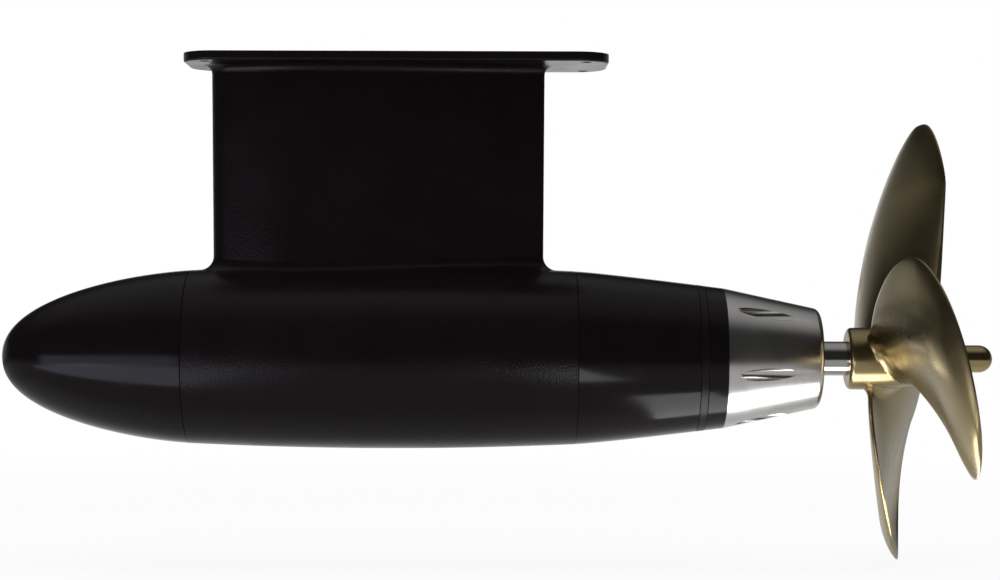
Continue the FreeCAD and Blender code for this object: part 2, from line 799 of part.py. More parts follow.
def blade_chord(share):
    """Width of the blade, measured along its section, at a share of the propeller's radius."""
    if share < blade_widest_share:
        fall = (blade_widest_share - share) / (blade_widest_share - blade_root_share)
        return blade_root_width + (blade_width - blade_root_width) * (1 - fall ** blade_root_curve)
    rise = (share - blade_widest_share) / (1 - blade_widest_share)
    fullness = (1 - rise ** blade_tip_curve) ** (1 / blade_tip_curve)
    return blade_tip_width + (blade_width - blade_tip_width) * fullness


def parabola(share, near_root, middle, tip):
    """A value that passes through three design values, at 0.4, 0.7 and 1.0 of the radius."""
    a = near_root * (share - 0.7) * (share - 1.0) / 0.18
    b = middle * (share - 0.4) * (share - 1.0) / -0.09
    c = tip * (share - 0.4) * (share - 0.7) / 0.18
    return a + b + c


def blade_section(share):
    """Closed wire of the blade's section at a share of the propeller's radius."""
    radius = share * propeller_radius
    chord = blade_chord(share)
    thickness = blade_root_thickness + (blade_tip_thickness - blade_root_thickness) * share
    pitch = parabola(share, *blade_pitch_ratio) * 2 * propeller_radius
    pitch_angle = math.atan2(pitch, 2 * math.pi * radius)
    skew = math.radians(parabola(share, *blade_skew))
    start_x = hub_front_x + blade_middle_x + parabola(share, *blade_rake)

    def placed(along, lift):
        x = start_x + along * math.sin(pitch_angle) + lift * math.cos(pitch_angle)
        angle = skew + (along * math.cos(pitch_angle) - lift * math.sin(pitch_angle)) / radius
        return Vector(x, -radius * math.sin(angle), radius * math.cos(angle))

    back = []
    face = []
    for index in range(blade_section_points + 1):
        turn = math.pi * index / blade_section_points
        along = -chord / 2 * math.cos(turn)
        camber = blade_camber * chord * math.sin(turn) ** 2
        back_lift = thickness * (blade_edge_share + blade_back_share * math.sin(turn))
        face_lift = thickness * (blade_edge_share + blade_face_share * math.sin(turn))
        back.append(placed(along, -camber - back_lift))
        face.append(placed(along, -camber + face_lift))
    edges = []
    for points in (back, face):
        curve = Part.BSplineCurve()
        curve.interpolate(points)
        edges.append(curve.toShape())
    edges.append(Part.LineSegment(back[0], face[0]).toShape())
    edges.append(Part.LineSegment(back[-1], face[-1]).toShape())
    return Part.Wire(Part.__sortEdges__(edges))


def blade():
    """One blade: a skin through its sections, which lie closer towards the tip, closed at both ends."""
    sections = []
    for index in range(blade_sections):
        climb = math.sin(math.pi / 2 * index / (blade_sections - 1))
        sections.append(blade_section(blade_root_share + climb * (1 - blade_root_share)))
    skin = Part.makeLoft(sections, False, False)
    ends = [Part.makeFilledFace(sections[0].Edges), Part.makeFilledFace(sections[-1].Edges)]
    shell = Part.makeShell(skin.Faces + ends)
    shell.sewShape()
    return Part.makeSolid(shell)


def propeller():
    """Hub and blades, one casting."""
    flank = Part.Arc(point(hub_front_x, hub_front_radius),
                     point(hub_front_x + hub_length / 2, hub_middle_radius),
                     point(hub_rear_x, hub_rear_radius)).toShape()
    hub = turned((hub_front_x, 0), flank, (hub_rear_x, 0))

    def on_rim(place):
        return place.x < hub_front_x + 1e-3 and math.hypot(place.y, place.z) > hub_front_radius - 1e-3

    hub = hub.makeFillet(hub_edge_round, edges_near(hub, on_rim))
    body = hub.multiFuse(around(blade(), blade_count, blade_first_angle))
    taper_rear_x = shaft_taper_rear_x + ring_slot
    bore = turned((hub_front_x, 0), (hub_front_x, shaft_radius + fit_clearance),
                  (taper_rear_x, shaft_taper_radius(shaft_taper_rear_x) + fit_clearance),
                  (taper_rear_x, shaft_thread_radius + fit_clearance),
                  (hub_rear_x, shaft_thread_radius + fit_clearance), (hub_rear_x, 0))
    return body.cut(bore).cut(propeller_key(fit_clearance))


def tab_washer():
    """The washer that locks the propeller nut by its bent tabs."""
    plate = ring(hub_rear_x, nut_front_x, shaft_thread_radius + fit_clearance, tab_washer_radius)
    foot = nut_hex_flat_radius + fit_clearance
    tab = block(hub_rear_x, nut_front_x + washer_tab_height, -washer_tab_width / 2, washer_tab_width / 2,
                foot, foot + tab_washer_thickness)
    return fused([plate] + around(tab, washer_tab_count))


def propeller_nut():
    """The domed nut: a hexagon with chamfered corners and a round cap behind it."""
    corner_radius = nut_hex_flat_radius / math.cos(math.pi / 6)
    run = (corner_radius - nut_hex_flat_radius) * nut_chamfer_slope
    hex_rear_x = nut_front_x + nut_hex_length
    drum = turned((nut_front_x, 0), (nut_front_x, nut_hex_flat_radius), (nut_front_x + run, corner_radius),
                  (hex_rear_x - run, corner_radius), (hex_rear_x, nut_hex_flat_radius), (hex_rear_x, 0))
    hexagon = hexagon_bar(nut_front_x, nut_hex_length, corner_radius).common(drum)
    tip_x = nut_front_x + nut_total_length
    dome_x = tip_x - nut_dome_radius
    lift = nut_dome_radius * math.sqrt(0.5)
    dome = Part.Arc(point(dome_x, nut_dome_radius), point(dome_x + lift, lift), point(tip_x, 0)).toShape()
    cap = turned((nut_front_x, 0), (nut_front_x, nut_dome_radius), dome)
    thread = rod(nut_front_x, nut_front_x + nut_thread_depth + shaft_edge_chamfer,
                 shaft_thread_radius + fit_clearance)
    return hexagon.fuse(cap).cut(thread)


# Motor housing: barrel, strut and hull flange, one casting
def foil_wire(z, front_x, rear_x):
    """Outline of the strut at a height: a symmetrical foil with a rounded trailing edge."""
    chord = rear_x - front_x
    side = []
    end_share = 1 - strut_edge_thickness / (2 * chord)
    for index in range(strut_curve_points):
        share = end_share * (1 - math.cos(math.pi / 2 * index / (strut_curve_points - 1)))
        foil = foil_root_term * math.sqrt(share)
        for power, term in enumerate(foil_terms, start=1):
            foil += term * share ** power
        half = max(foil * foil_scale * strut_thickness, 0) + strut_edge_thickness / 2 * share ** 2
        side.append((front_x + share * chord, half))
    near = Part.BSplineCurve()
    port = [Vector(x, -y, z) for x, y in reversed(side)]
    starboard = [Vector(x, y, z) for x, y in side[1:]]
    near.interpolate(port + starboard)
    last_x, last_y = side[-1]
    tail = Part.Arc(Vector(last_x, last_y, z), Vector(rear_x, 0, z), Vector(last_x, -last_y, z))
    return Part.Wire([near.toShape(), tail.toShape()])


def upright(x, y, bottom_z, top_z, radius):
    """A round bar along the vertical."""
    return Part.makeCylinder(radius, top_z - bottom_z, Vector(x, y, bottom_z))


def rounded_block(middle_x, length, width, bottom_z, top_z, corner_radius):
    """An upright block with rounded corners, in line with the flange."""
    corner = Vector(middle_x - length / 2, -width / 2, bottom_z)
    body = Part.makeBox(length, width, top_z - bottom_z, corner)
    corners = [edge for edge in body.Edges if edge.BoundBox.ZLength > (top_z - bottom_z) / 2]
    return body.makeFillet(corner_radius, corners)


flange_bottom_z = -flange_thickness
grommet_top_z = -gland_plate_thickness
grommet_bottom_z = grommet_top_z - grommet_depth
duct_bottom_z = -hull_to_axis + motor_bore_radius / 2


def flange_bolt_holes():
    """Clearance holes for the eight hull bolts."""
    holes = []
    for spacing in (outer_bolt_spacing, inner_bolt_spacing):
        for side_x in (-1, 1):
            for side_y in (-1, 1):
                x = side_x * spacing / 2
                y = side_y * bolt_row_spacing / 2
                holes.append(upright(x, y, flange_bottom_z, 0, flange_bolt_hole_radius))
    return holes


def gland_screw_places():
    """Middles of the gland plate's four screws."""
    reach_x = gland_plate_length / 2 - gland_screw_inset
    reach_y = gland_plate_width / 2 - gland_screw_inset
    sides = [(side_x, side_y) for side_x in (-1, 1) for side_y in (-1, 1)]
    return [(duct_middle_x + side_x * reach_x, side_y * reach_y) for side_x, side_y in sides]


def edges_near(shape, test):
    """Edges of a shape whose sampled points all pass a test."""
    chosen = []
    for edge in shape.Edges:
        first, last = edge.FirstParameter, edge.LastParameter
        samples = [edge.valueAt(first + (last - first) * step / 6) for step in range(7)]
        if all(test(sample) for sample in samples):
            chosen.append(edge)
    return chosen


def motor_housing():
    """The cast barrel with the strut and the flange, bored for the motor."""
    middle_x = (barrel_front_x + barrel_rear_x) / 2
    edge_radius = seam_radius + barrel_end_slope * seam_chamfer
    skin = Part.Arc(point(barrel_front_x + seam_chamfer, edge_radius),
                    point(middle_x, seam_radius + barrel_bulge),
                    point(barrel_rear_x - seam_chamfer, edge_radius)).toShape()
    barrel = turned((barrel_front_x, 0), (barrel_front_x, seam_radius - seam_chamfer), skin,
                    (barrel_rear_x, seam_radius - seam_chamfer), (barrel_rear_x, 0))
    barrel.translate(Vector(0, 0, -hull_to_axis))
    strut_foot = foil_wire(-hull_to_axis, strut_front_x + strut_front_rake, strut_rear_x - strut_rear_rake)
    strut_head = foil_wire(flange_bottom_z / 2, strut_front_x, strut_rear_x)
    strut = Part.makeLoft([strut_foot, strut_head], True, True)
    flange = rounded_block(0, flange_length, flange_width, flange_bottom_z, 0, flange_corner_radius)
    lower_edges = edges_near(flange, lambda place: abs(place.z - flange_bottom_z) < 1e-3)
    flange = flange.makeFillet(flange_edge_round, lower_edges)
    body = barrel.fuse(strut).fuse(flange)

    def by_strut(place):
        near_x = strut_front_x - cut_margin < place.x < strut_rear_x + cut_margin
        return near_x and abs(place.y) < strut_thickness / 2 + cut_margin

    def on_flange(place):
        return by_strut(place) and abs(place.z - flange_bottom_z) < 0.01

    def on_barrel(place):
        from_axis = math.hypot(place.y, place.z + hull_to_axis)
        above = -hull_to_axis < place.z < -hull_to_axis / 2
        return by_strut(place) and above and from_axis < seam_radius + barrel_bulge + 0.1

    body = body.makeFillet(flange_fillet_radius, edges_near(body, on_flange))
    body = body.makeFillet(pod_fillet_radius, edges_near(body, on_barrel))
    return body.cut(barrel_bores()).cut(flange_cuts())


def barrel_bores():
    """The motor bore with its wider ends and the front spring ring's groove."""
    front_ring_x = shield_front_x - spring_ring_thickness - ring_slot
    bore = turned(
        (barrel_front_x, 0), (barrel_front_x, spigot_bore_radius), (front_ring_x, spigot_bore_radius),
        (front_ring_x, spigot_bore_radius + spring_ring_groove),
        (shield_front_x, spigot_bore_radius + spring_ring_groove), (shield_front_x, spigot_bore_radius),
        (shield_rear_x, spigot_bore_radius), (shield_rear_x, motor_bore_radius),
        (tail_spigot_front_x - ring_slot, motor_bore_radius),
        (tail_spigot_front_x - ring_slot, spigot_bore_radius), (barrel_rear_x, spigot_bore_radius),
        (barrel_rear_x, 0))
    bore.translate(Vector(0, 0, -hull_to_axis))
    return bore


def flange_cuts():
    """Bolt holes, the cable duct and the seats of the grommet, its plate and the plate's screws."""
    duct_corner = duct_width / 2 - round_end_margin
    duct = rounded_block(duct_middle_x, duct_length, duct_width, duct_bottom_z, 0, duct_corner)
    ledge = rounded_block(duct_middle_x, duct_length + 2 * grommet_ledge, duct_width + 2 * grommet_ledge,
                          grommet_bottom_z, 0, duct_width / 2)
    seat_length = gland_plate_length + 2 * ring_slot
    seat_width = gland_plate_width + 2 * ring_slot
    plate_seat = rounded_block(duct_middle_x, seat_length, seat_width, grommet_top_z, 0, gland_screw_inset)
    cuts = [duct, ledge, plate_seat] + flange_bolt_holes()
    for x, y in gland_screw_places():
        cuts.append(upright(x, y, -gland_screw_length, 0, gland_screw_radius))
    return cuts


def cable_holes(bottom_z, top_z):
    """Upright bars through the grommet: three power cables and one signal cable, in line."""
    span = (power_cable_count - 1) * power_cable_pitch + signal_cable_pitch
    first_x = duct_middle_x - span / 2
    bars = []
    for index in range(power_cable_count):
        bars.append(upright(first_x + index * power_cable_pitch, 0, bottom_z, top_z, power_cable_radius))
    bars.append(upright(first_x + span, 0, bottom_z, top_z, signal_cable_radius))
    return bars


def cable_grommet():
    """The rubber block that seals the cables in the hull face of the strut."""
    growth = 2 * (grommet_ledge - fit_clearance)
    body = rounded_block(duct_middle_x, duct_length + growth, duct_width + growth, grommet_bottom_z,
                         grommet_top_z, duct_width / 2 - fit_clearance)
    return body.cut(cable_holes(grommet_bottom_z, grommet_top_z))


def gland_plate():
    """The plate that presses on the grommet, flush with the hull face, with a window over the cables."""
    body = rounded_block(duct_middle_x, gland_plate_length, gland_plate_width, grommet_top_z, 0,
                         gland_screw_inset - ring_slot)
    window_width = duct_width - gland_window_margin
    window = rounded_block(duct_middle_x, duct_length - gland_window_margin, window_width, grommet_top_z, 0,
                           window_width / 2 - round_end_margin)
    sinks = []
    for x, y in gland_screw_places():
        sinks.append(Part.makeCone(gland_screw_radius, gland_screw_head_radius, gland_plate_thickness,
                                   Vector(x, y, grommet_top_z)))
    return body.cut([window] + sinks)


def gland_screws():
    """Countersunk screws of the gland plate, flush with it."""
    screws = []
    for x, y in gland_screw_places():
        head = Part.makeCone(gland_screw_radius, gland_screw_head_radius, gland_plate_thickness,
                             Vector(x, y, grommet_top_z))
        screws.append(head.fuse(upright(x, y, -gland_screw_length, grommet_top_z, gland_screw_radius)))
    return Part.makeCompound(screws)


os.makedirs("parts", exist_ok=True)
export("motor_housing", motor_housing())
export("cable_grommet", cable_grommet())
export("gland_plate", gland_plate())
export("gland_screws", gland_screws())
save("nose_cone", nose_cone())
save("nose_o_ring", o_ring(nose_groove_x, spigot_radius))
save("tail_housing", tail_housing())
save("tail_o_ring", o_ring(tail_groove_x, spigot_radius))
save("isolating_ring", isolating_ring())
save("seal_carrier", seal_carrier())
save("carrier_o_ring", o_ring(carrier_groove_x, carrier_spigot_radius))
save("aft_bush", aft_bush())
save("inner_lip_seal", lip_seal(seal_pocket_x))
save("outer_lip_seal", lip_seal(seal_pocket_x + seal_width))
save("seal_washer",
     ring(end_cone_x - seal_washer_thickness, end_cone_x, shaft_radius + seal_step / 2, seal_outer_radius))
save("end_cone", end_cone())
save("end_cone_screws", Part.makeCompound(screw_copies(cone_screw())))
save("front_bearing_shield", front_shield())
save("front_shield_retaining_ring",
     ring(shield_front_x - spring_ring_thickness, shield_front_x, spigot_radius - spring_ring_height,
          spigot_bore_radius + spring_ring_groove - ring_slot))
save("position_sensor_board",
     rod(sensor_board_rear_x - sensor_board_thickness, sensor_board_rear_x, sensor_board_radius))
save("front_bearing_outer_ring", at_front(front_bearing.outer_ring()))
save("front_bearing_inner_ring", at_front(front_bearing.inner_ring()))
save("front_bearing_rollers", at_front(front_bearing.rollers()))
save("front_lock_nut", lock_nut(front_race_back_x - lock_nut_thickness, shaft_radius))
save("rear_bearing_outer_ring", at_rear(rear_bearing.outer_ring()))
save("rear_bearing_inner_ring", at_rear(rear_bearing.inner_ring()))
save("rear_bearing_rollers", at_rear(rear_bearing.rollers()))
save("rear_lock_nut", lock_nut(rear_race_back_x, rear_bearing_bore_radius))
save("rear_bearing_retaining_ring",
     ring(rear_cup_end_x, rear_cup_end_x + spring_ring_thickness,
          rear_bearing_outer_radius - spring_ring_height / 2,
          rear_bearing_outer_radius + spring_ring_groove - ring_slot))
save("stator_core", stator_core())
save("stator_windings", stator_windings())
save("rotor_core", rotor_core())
save("rotor_magnets", rotor_magnets())
save("rotor_sleeve", rotor_sleeve())
save("rotor_key", rotor_key())
save("rotor_retaining_ring",
     ring(stator_front_x - rotor_ring_thickness, stator_front_x,
          rotor_seat_radius - spring_ring_groove + fit_clearance, rotor_ring_radius))
save("sensor_magnet", rod(sensor_magnet_x, shaft_front_x, sensor_magnet_radius))
save("propeller_shaft", propeller_shaft())
save("propeller", propeller())
save("propeller_key", propeller_key())
save("tab_washer", tab_washer())
save("propeller_nut", propeller_nut())
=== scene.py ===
import json
import logging
import math
from collections.abc import Callable, Iterable
from dataclasses import dataclass, field
from enum import Enum

import bmesh
import bpy
from mathutils import Matrix, Vector


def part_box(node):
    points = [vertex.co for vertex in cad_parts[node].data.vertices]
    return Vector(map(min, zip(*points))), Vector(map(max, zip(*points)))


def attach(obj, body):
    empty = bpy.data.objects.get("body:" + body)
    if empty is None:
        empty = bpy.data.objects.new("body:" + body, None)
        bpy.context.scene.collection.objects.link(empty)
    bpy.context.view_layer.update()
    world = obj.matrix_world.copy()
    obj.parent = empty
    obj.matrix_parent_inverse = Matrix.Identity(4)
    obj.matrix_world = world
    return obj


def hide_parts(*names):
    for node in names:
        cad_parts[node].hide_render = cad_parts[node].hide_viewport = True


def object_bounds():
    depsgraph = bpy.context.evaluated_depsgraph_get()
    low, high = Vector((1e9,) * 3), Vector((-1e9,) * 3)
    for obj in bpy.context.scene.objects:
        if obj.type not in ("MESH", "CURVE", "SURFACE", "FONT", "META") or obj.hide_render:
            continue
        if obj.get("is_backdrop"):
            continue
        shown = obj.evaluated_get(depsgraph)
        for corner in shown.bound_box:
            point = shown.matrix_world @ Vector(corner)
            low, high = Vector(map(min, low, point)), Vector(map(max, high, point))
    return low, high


# Looks of an electric pod drive, hung from a hull flange: black pod and strut, brushed end cone,
# polished shaft and a three-blade bronze propeller. Lengths are in metres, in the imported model's
# frame: the origin is the middle of the hull face, +Z is up and +X is aft along the shaft.

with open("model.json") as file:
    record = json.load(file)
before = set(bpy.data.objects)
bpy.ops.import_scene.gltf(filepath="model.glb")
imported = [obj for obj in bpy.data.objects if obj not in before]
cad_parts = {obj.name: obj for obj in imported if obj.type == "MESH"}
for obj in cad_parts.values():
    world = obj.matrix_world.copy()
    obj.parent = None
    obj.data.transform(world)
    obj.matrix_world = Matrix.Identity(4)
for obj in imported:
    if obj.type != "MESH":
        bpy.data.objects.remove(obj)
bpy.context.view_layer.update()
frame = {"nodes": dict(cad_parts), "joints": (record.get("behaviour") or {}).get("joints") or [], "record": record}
log = logging.getLogger("pod_drive")

AXIS_Z: float = frame["joints"][0]["pos_m"][2]
MM: float = 0.001
TURN_STEPS: int = 192
SMALL_TURN_STEPS: int = 96
FULL_TURN: float = 2 * math.pi
MERGE_DISTANCE: float = 1e-6
END_ROUND: float = 0.4 * MM
WHITE: tuple[float, float, float, float] = (1.0, 1.0, 1.0, 1.0)

Colour = tuple[float, float, float]
Place = tuple[float, float, float]
Range = tuple[float, float]
Outline = list[tuple[float, float]]
Socket = bpy.types.NodeSocket
Value = Socket | float


class Relief(Enum):
    """How a surface was made, which decides its fine relief."""

    CAST = "orange_peel_casting"
    SPRAYED = "sprayed_coat"
    TURNED = "lathe_lines"
    BUFFED = "buffing_strokes"
    MOULDED = "moulded_texture"
    LAMINATED = "stacked_sheets"
    WOUND = "wound_wire"


class NodeSheet:
    """A node tree being drawn, with short calls to add and join its nodes."""

    def __init__(self, tree: bpy.types.NodeTree) -> None:
        """Keep the tree that is drawn on."""
        self.tree = tree

    def add(self, kind: str, **settings: object) -> bpy.types.Node:
        """Add a node.

        Args:
            kind: Blender's name for the node type.
            settings: Properties of the node, or, for a name that isn't one, the value of an input.

        Returns:
            The new node.
        """
        node = self.tree.nodes.new(kind)
        for name, value in settings.items():
            if hasattr(node, name):
                setattr(node, name, value)
            else:
                node.inputs[name.replace("_", " ")].default_value = value
        return node

    def join(self, source: Socket, target: Socket) -> None:
        """Link two sockets."""
        self.tree.links.new(source, target)

    def maths(self, operation: str, first: Value, second: Value = 0.0) -> Socket:
        """Add a maths node.

        Args:
            operation: Blender's name for the operation.
            first: A socket or a number.
            second: A socket or a number.

        Returns:
            The socket with the result.
        """
        node = self.add("ShaderNodeMath", operation=operation)
        for index, value in enumerate((first, second)):
            if isinstance(value, Socket):
                self.join(value, node.inputs[index])
            else:
                node.inputs[index].default_value = value
        return node.outputs[0]

    def split(self, place: Socket) -> bpy.types.bpy_prop_collection:
        """Split a place into its coordinates.

        Args:
            place: The socket with the place.

        Returns:
            The outputs X, Y and Z.
        """
        node = self.add("ShaderNodeSeparateXYZ")
        self.join(place, node.inputs[0])
        return node.outputs

    def smooth(self, value: Socket, ends: Range, low: float = 0.0, high: float = 1.0) -> Socket:
        """Map a value smoothly from one range to another.

        Args:
            value: The value.
            ends: Where the change starts and where it ends.
            low: The result up to the start.
            high: The result past the end.

        Returns:
            The socket with the result.
        """
        step = self.add("ShaderNodeMapRange", interpolation_type="SMOOTHSTEP", From_Min=ends[0],
                        From_Max=ends[1], To_Min=low, To_Max=high)
        self.join(value, step.inputs["Value"])
        return step.outputs["Result"]

    def choose(self, test: Socket, when_set: Value, otherwise: Value) -> Socket:
        """Pick one of two values.

        Args:
            test: 1 for the first value, 0 for the second.
            when_set: A socket or a number.
            otherwise: A socket or a number.

        Returns:
            The socket with the value.
        """
        rest = self.maths("SUBTRACT", 1.0, test)
        return self.maths("ADD", self.maths("MULTIPLY", test, when_set),
                          self.maths("MULTIPLY", rest, otherwise))

    def rays(self) -> tuple[Socket, Socket]:
        """Tell what kind of ray meets the surface.

        Returns:
            A socket that is 1 for camera and transmission rays, and one for glossy rays.
        """
        path = self.add("ShaderNodeLightPath").outputs
        seen = self.maths("MAXIMUM", path["Is Camera Ray"], path["Is Transmission Ray"])
        return seen, path["Is Glossy Ray"]


class ReliefSheet(NodeSheet):
    """A relief's node group being drawn. Each relief's method returns its height and its mask."""

    def __init__(self, tree: bpy.types.NodeTree) -> None:
        """Add the group's scale and the place on the object.

        Args:
            tree: The node group, with its Scale input.
        """
        super().__init__(tree)
        self.scale = self.add("NodeGroupInput").outputs["Scale"]
        self.place = self.add("ShaderNodeTexCoord").outputs["Object"]

    def noise(self, share: float, detail: float, roughness: float = 0.5,
              place: Socket | None = None) -> Socket:
        """Add a noise texture.

        Args:
            share: Its scale, as a share of the relief's.
            detail: Its detail.
            roughness: Its roughness.
            place: Where it is read, if not at the place on the object.

        Returns:
            The socket with its value.
        """
        node = self.add("ShaderNodeTexNoise", Detail=detail, Roughness=roughness)
        self.join(self.place if place is None else place, node.inputs["Vector"])
        self.join(self.maths("MULTIPLY", self.scale, share), node.inputs["Scale"])
        return node.outputs["Fac"]

    def wave(self, direction: str, distortion: float) -> Socket:
        """Add a wave texture at the relief's scale.

        Args:
            direction: The axis along which its bands follow each other.
            distortion: How far the bands wander.

        Returns:
            The socket with its value.
        """
        node = self.add("ShaderNodeTexWave", bands_direction=direction, Distortion=distortion)
        self.join(self.place, node.inputs["Vector"])
        self.join(self.scale, node.inputs["Scale"])
        return node.outputs["Fac"]

    def orange_peel_casting(self) -> tuple[Socket, Socket]:
        """Rounded grains under paint, with slow patches where the paint lies thicker.

        Returns:
            The height and the mask.
        """
        cells = self.add("ShaderNodeTexVoronoi", feature="SMOOTH_F1", Smoothness=0.6)
        self.join(self.place, cells.inputs["Vector"])
        self.join(self.maths("MULTIPLY", self.scale, 1.4), cells.inputs["Scale"])
        height = self.maths("ADD", self.maths("MULTIPLY", self.noise(1.0, 3.0, 0.6), 0.65),
                            self.maths("MULTIPLY", cells.outputs["Distance"], 0.5))
        return height, self.noise(0.06, 2.0)

    def sprayed_coat(self) -> tuple[Socket, Socket]:
        """The slight waviness of a sprayed coat on a machined surface."""
        return self.noise(1.0, 1.0), self.noise(0.12, 3.0)

    def lathe_lines(self) -> tuple[Socket, Socket]:
        """Fine rings round the shaft axis, broken up a little round the turn.

        Returns:
            The height and the mask.
        """
        stretch = self.add("ShaderNodeMapping", vector_type="POINT", Scale=(1.0, 0.02, 0.02))
        self.join(self.place, stretch.inputs["Vector"])
        rings = stretch.outputs["Vector"]
        return self.noise(1.0, 4.0, 0.65, rings), self.noise(0.08, 2.0, place=rings)

    def buffing_strokes(self) -> tuple[Socket, Socket]:
        """Long soft strokes round the shaft axis, over slow hand-made waves.

        Returns:
            The height and the mask.
        """
        parts = self.split(self.place)
        across = parts["Y"]
        up = self.maths("SUBTRACT", parts["Z"], AXIS_Z)
        square = self.maths("ADD", self.maths("MULTIPLY", across, across),
                            self.maths("MULTIPLY", up, up))
        strokes = self.add("ShaderNodeCombineXYZ")
        for index, value in enumerate((self.maths("SQRT", square),
                                       self.maths("MULTIPLY", parts["X"], 0.15),
                                       self.maths("MULTIPLY", across, 0.06))):
            self.join(value, strokes.inputs[index])
        fine = self.noise(1.0, 3.0, 0.6, strokes.outputs[0])
        height = self.maths("ADD", self.maths("MULTIPLY", fine, 0.12), self.noise(0.05, 1.0))
        return height, self.noise(0.035, 3.0)

    def moulded_texture(self) -> tuple[Socket, Socket]:
        """The fine matt texture of a mould."""
        return self.noise(1.0, 2.0), self.noise(0.1, 2.0)

    def stacked_sheets(self) -> tuple[Socket, Socket]:
        """Edges of thin sheets, stacked along the shaft axis."""
        return self.wave("X", 0.0), self.noise(0.1, 2.0)

    def wound_wire(self) -> tuple[Socket, Socket]:
        """Strands of varnished wire, side by side."""
        return self.wave("Y", 2.0), self.noise(0.2, 2.0)

    def handling(self) -> tuple[Socket, Socket]:
        """Slow smears left by hands and cloths, and finer specks in them.

        Returns:
            The height and the mask.
        """
        ramp = self.add("ShaderNodeMapRange", From_Min=0.38, From_Max=0.68)
        self.join(self.noise(1.0, 4.0, 0.6), ramp.inputs["Value"])
        return self.noise(9.0, 3.0), ramp.outputs["Result"]


class SharedEffects:
    """Shader node groups that several finishes use, each built once."""

    def __init__(self) -> None:
        """Start with no group built."""
        self.built: dict[str, bpy.types.NodeTree] = {}

    def group(self, name: str) -> bpy.types.NodeTree:
        """The group of that name, built when it is first asked for.

        Args:
            name: A relief's value, or "handling".

        Returns:
            The node group, with a Scale input and the outputs Height and Mask.
        """
        if name not in self.built:
            tree = bpy.data.node_groups.new(name, "ShaderNodeTree")
            tree.interface.new_socket("Scale", in_out="INPUT", socket_type="NodeSocketFloat")
            for output in ("Height", "Mask"):
                tree.interface.new_socket(output, in_out="OUTPUT", socket_type="NodeSocketFloat")
            sheet = ReliefSheet(tree)
            height, mask = getattr(sheet, name)()
            ends = sheet.add("NodeGroupOutput")
            sheet.join(height, ends.inputs["Height"])
            sheet.join(mask, ends.inputs["Mask"])
            self.built[name] = tree
        return self.built[name]


@dataclass(frozen=True)
class Finish:
    """One finish: its colours, gloss and fine relief."""

    colour: Colour
    shade: Colour
    roughness: tuple[float, float]
    relief: Relief
    relief_scale: float
    relief_depth: float
    metallic: float = 0.0
    coat: float = 0.0
    coat_roughness: float = 0.1
    specular: float = 0.5
    smear_scale: float = 14.0

    def material(self, name: str, effects: SharedEffects) -> bpy.types.Material:
        """Build the material.

        Args:
            name: The material's name.
            effects: The shared node groups.

        Returns:
            A material whose colour, gloss and relief change over the surface.
        """
        material = bpy.data.materials.new(name)
        material.use_nodes = True
        sheet = NodeSheet(material.node_tree)
        shader = material.node_tree.nodes["Principled BSDF"].inputs
        shader["Metallic"].default_value = self.metallic
        shader["Coat Weight"].default_value = self.coat
        shader["Coat Roughness"].default_value = self.coat_roughness
        shader["Specular IOR Level"].default_value = self.specular
        grain = sheet.add("ShaderNodeGroup", node_tree=effects.group(self.relief.value),
                          Scale=self.relief_scale)
        smear = sheet.add("ShaderNodeGroup", node_tree=effects.group("handling"),
                          Scale=self.smear_scale)
        blend = sheet.add("ShaderNodeMix", data_type="RGBA")
        blend.inputs["A"].default_value = (*self.colour, 1.0)
        blend.inputs["B"].default_value = (*self.shade, 1.0)
        sheet.join(grain.outputs["Mask"], blend.inputs["Factor"])
        sheet.join(blend.outputs["Result"], shader["Base Color"])
        gloss = sheet.add("ShaderNodeMapRange", To_Min=self.roughness[0], To_Max=self.roughness[1])
        sheet.join(smear.outputs["Mask"], gloss.inputs["Value"])
        sheet.join(gloss.outputs["Result"], shader["Roughness"])
        bump = sheet.add("ShaderNodeBump", Strength=1.0, Distance=self.relief_depth)
        sheet.join(grain.outputs["Height"], bump.inputs["Height"])
        sheet.join(bump.outputs["Normal"], shader["Normal"])
        return material


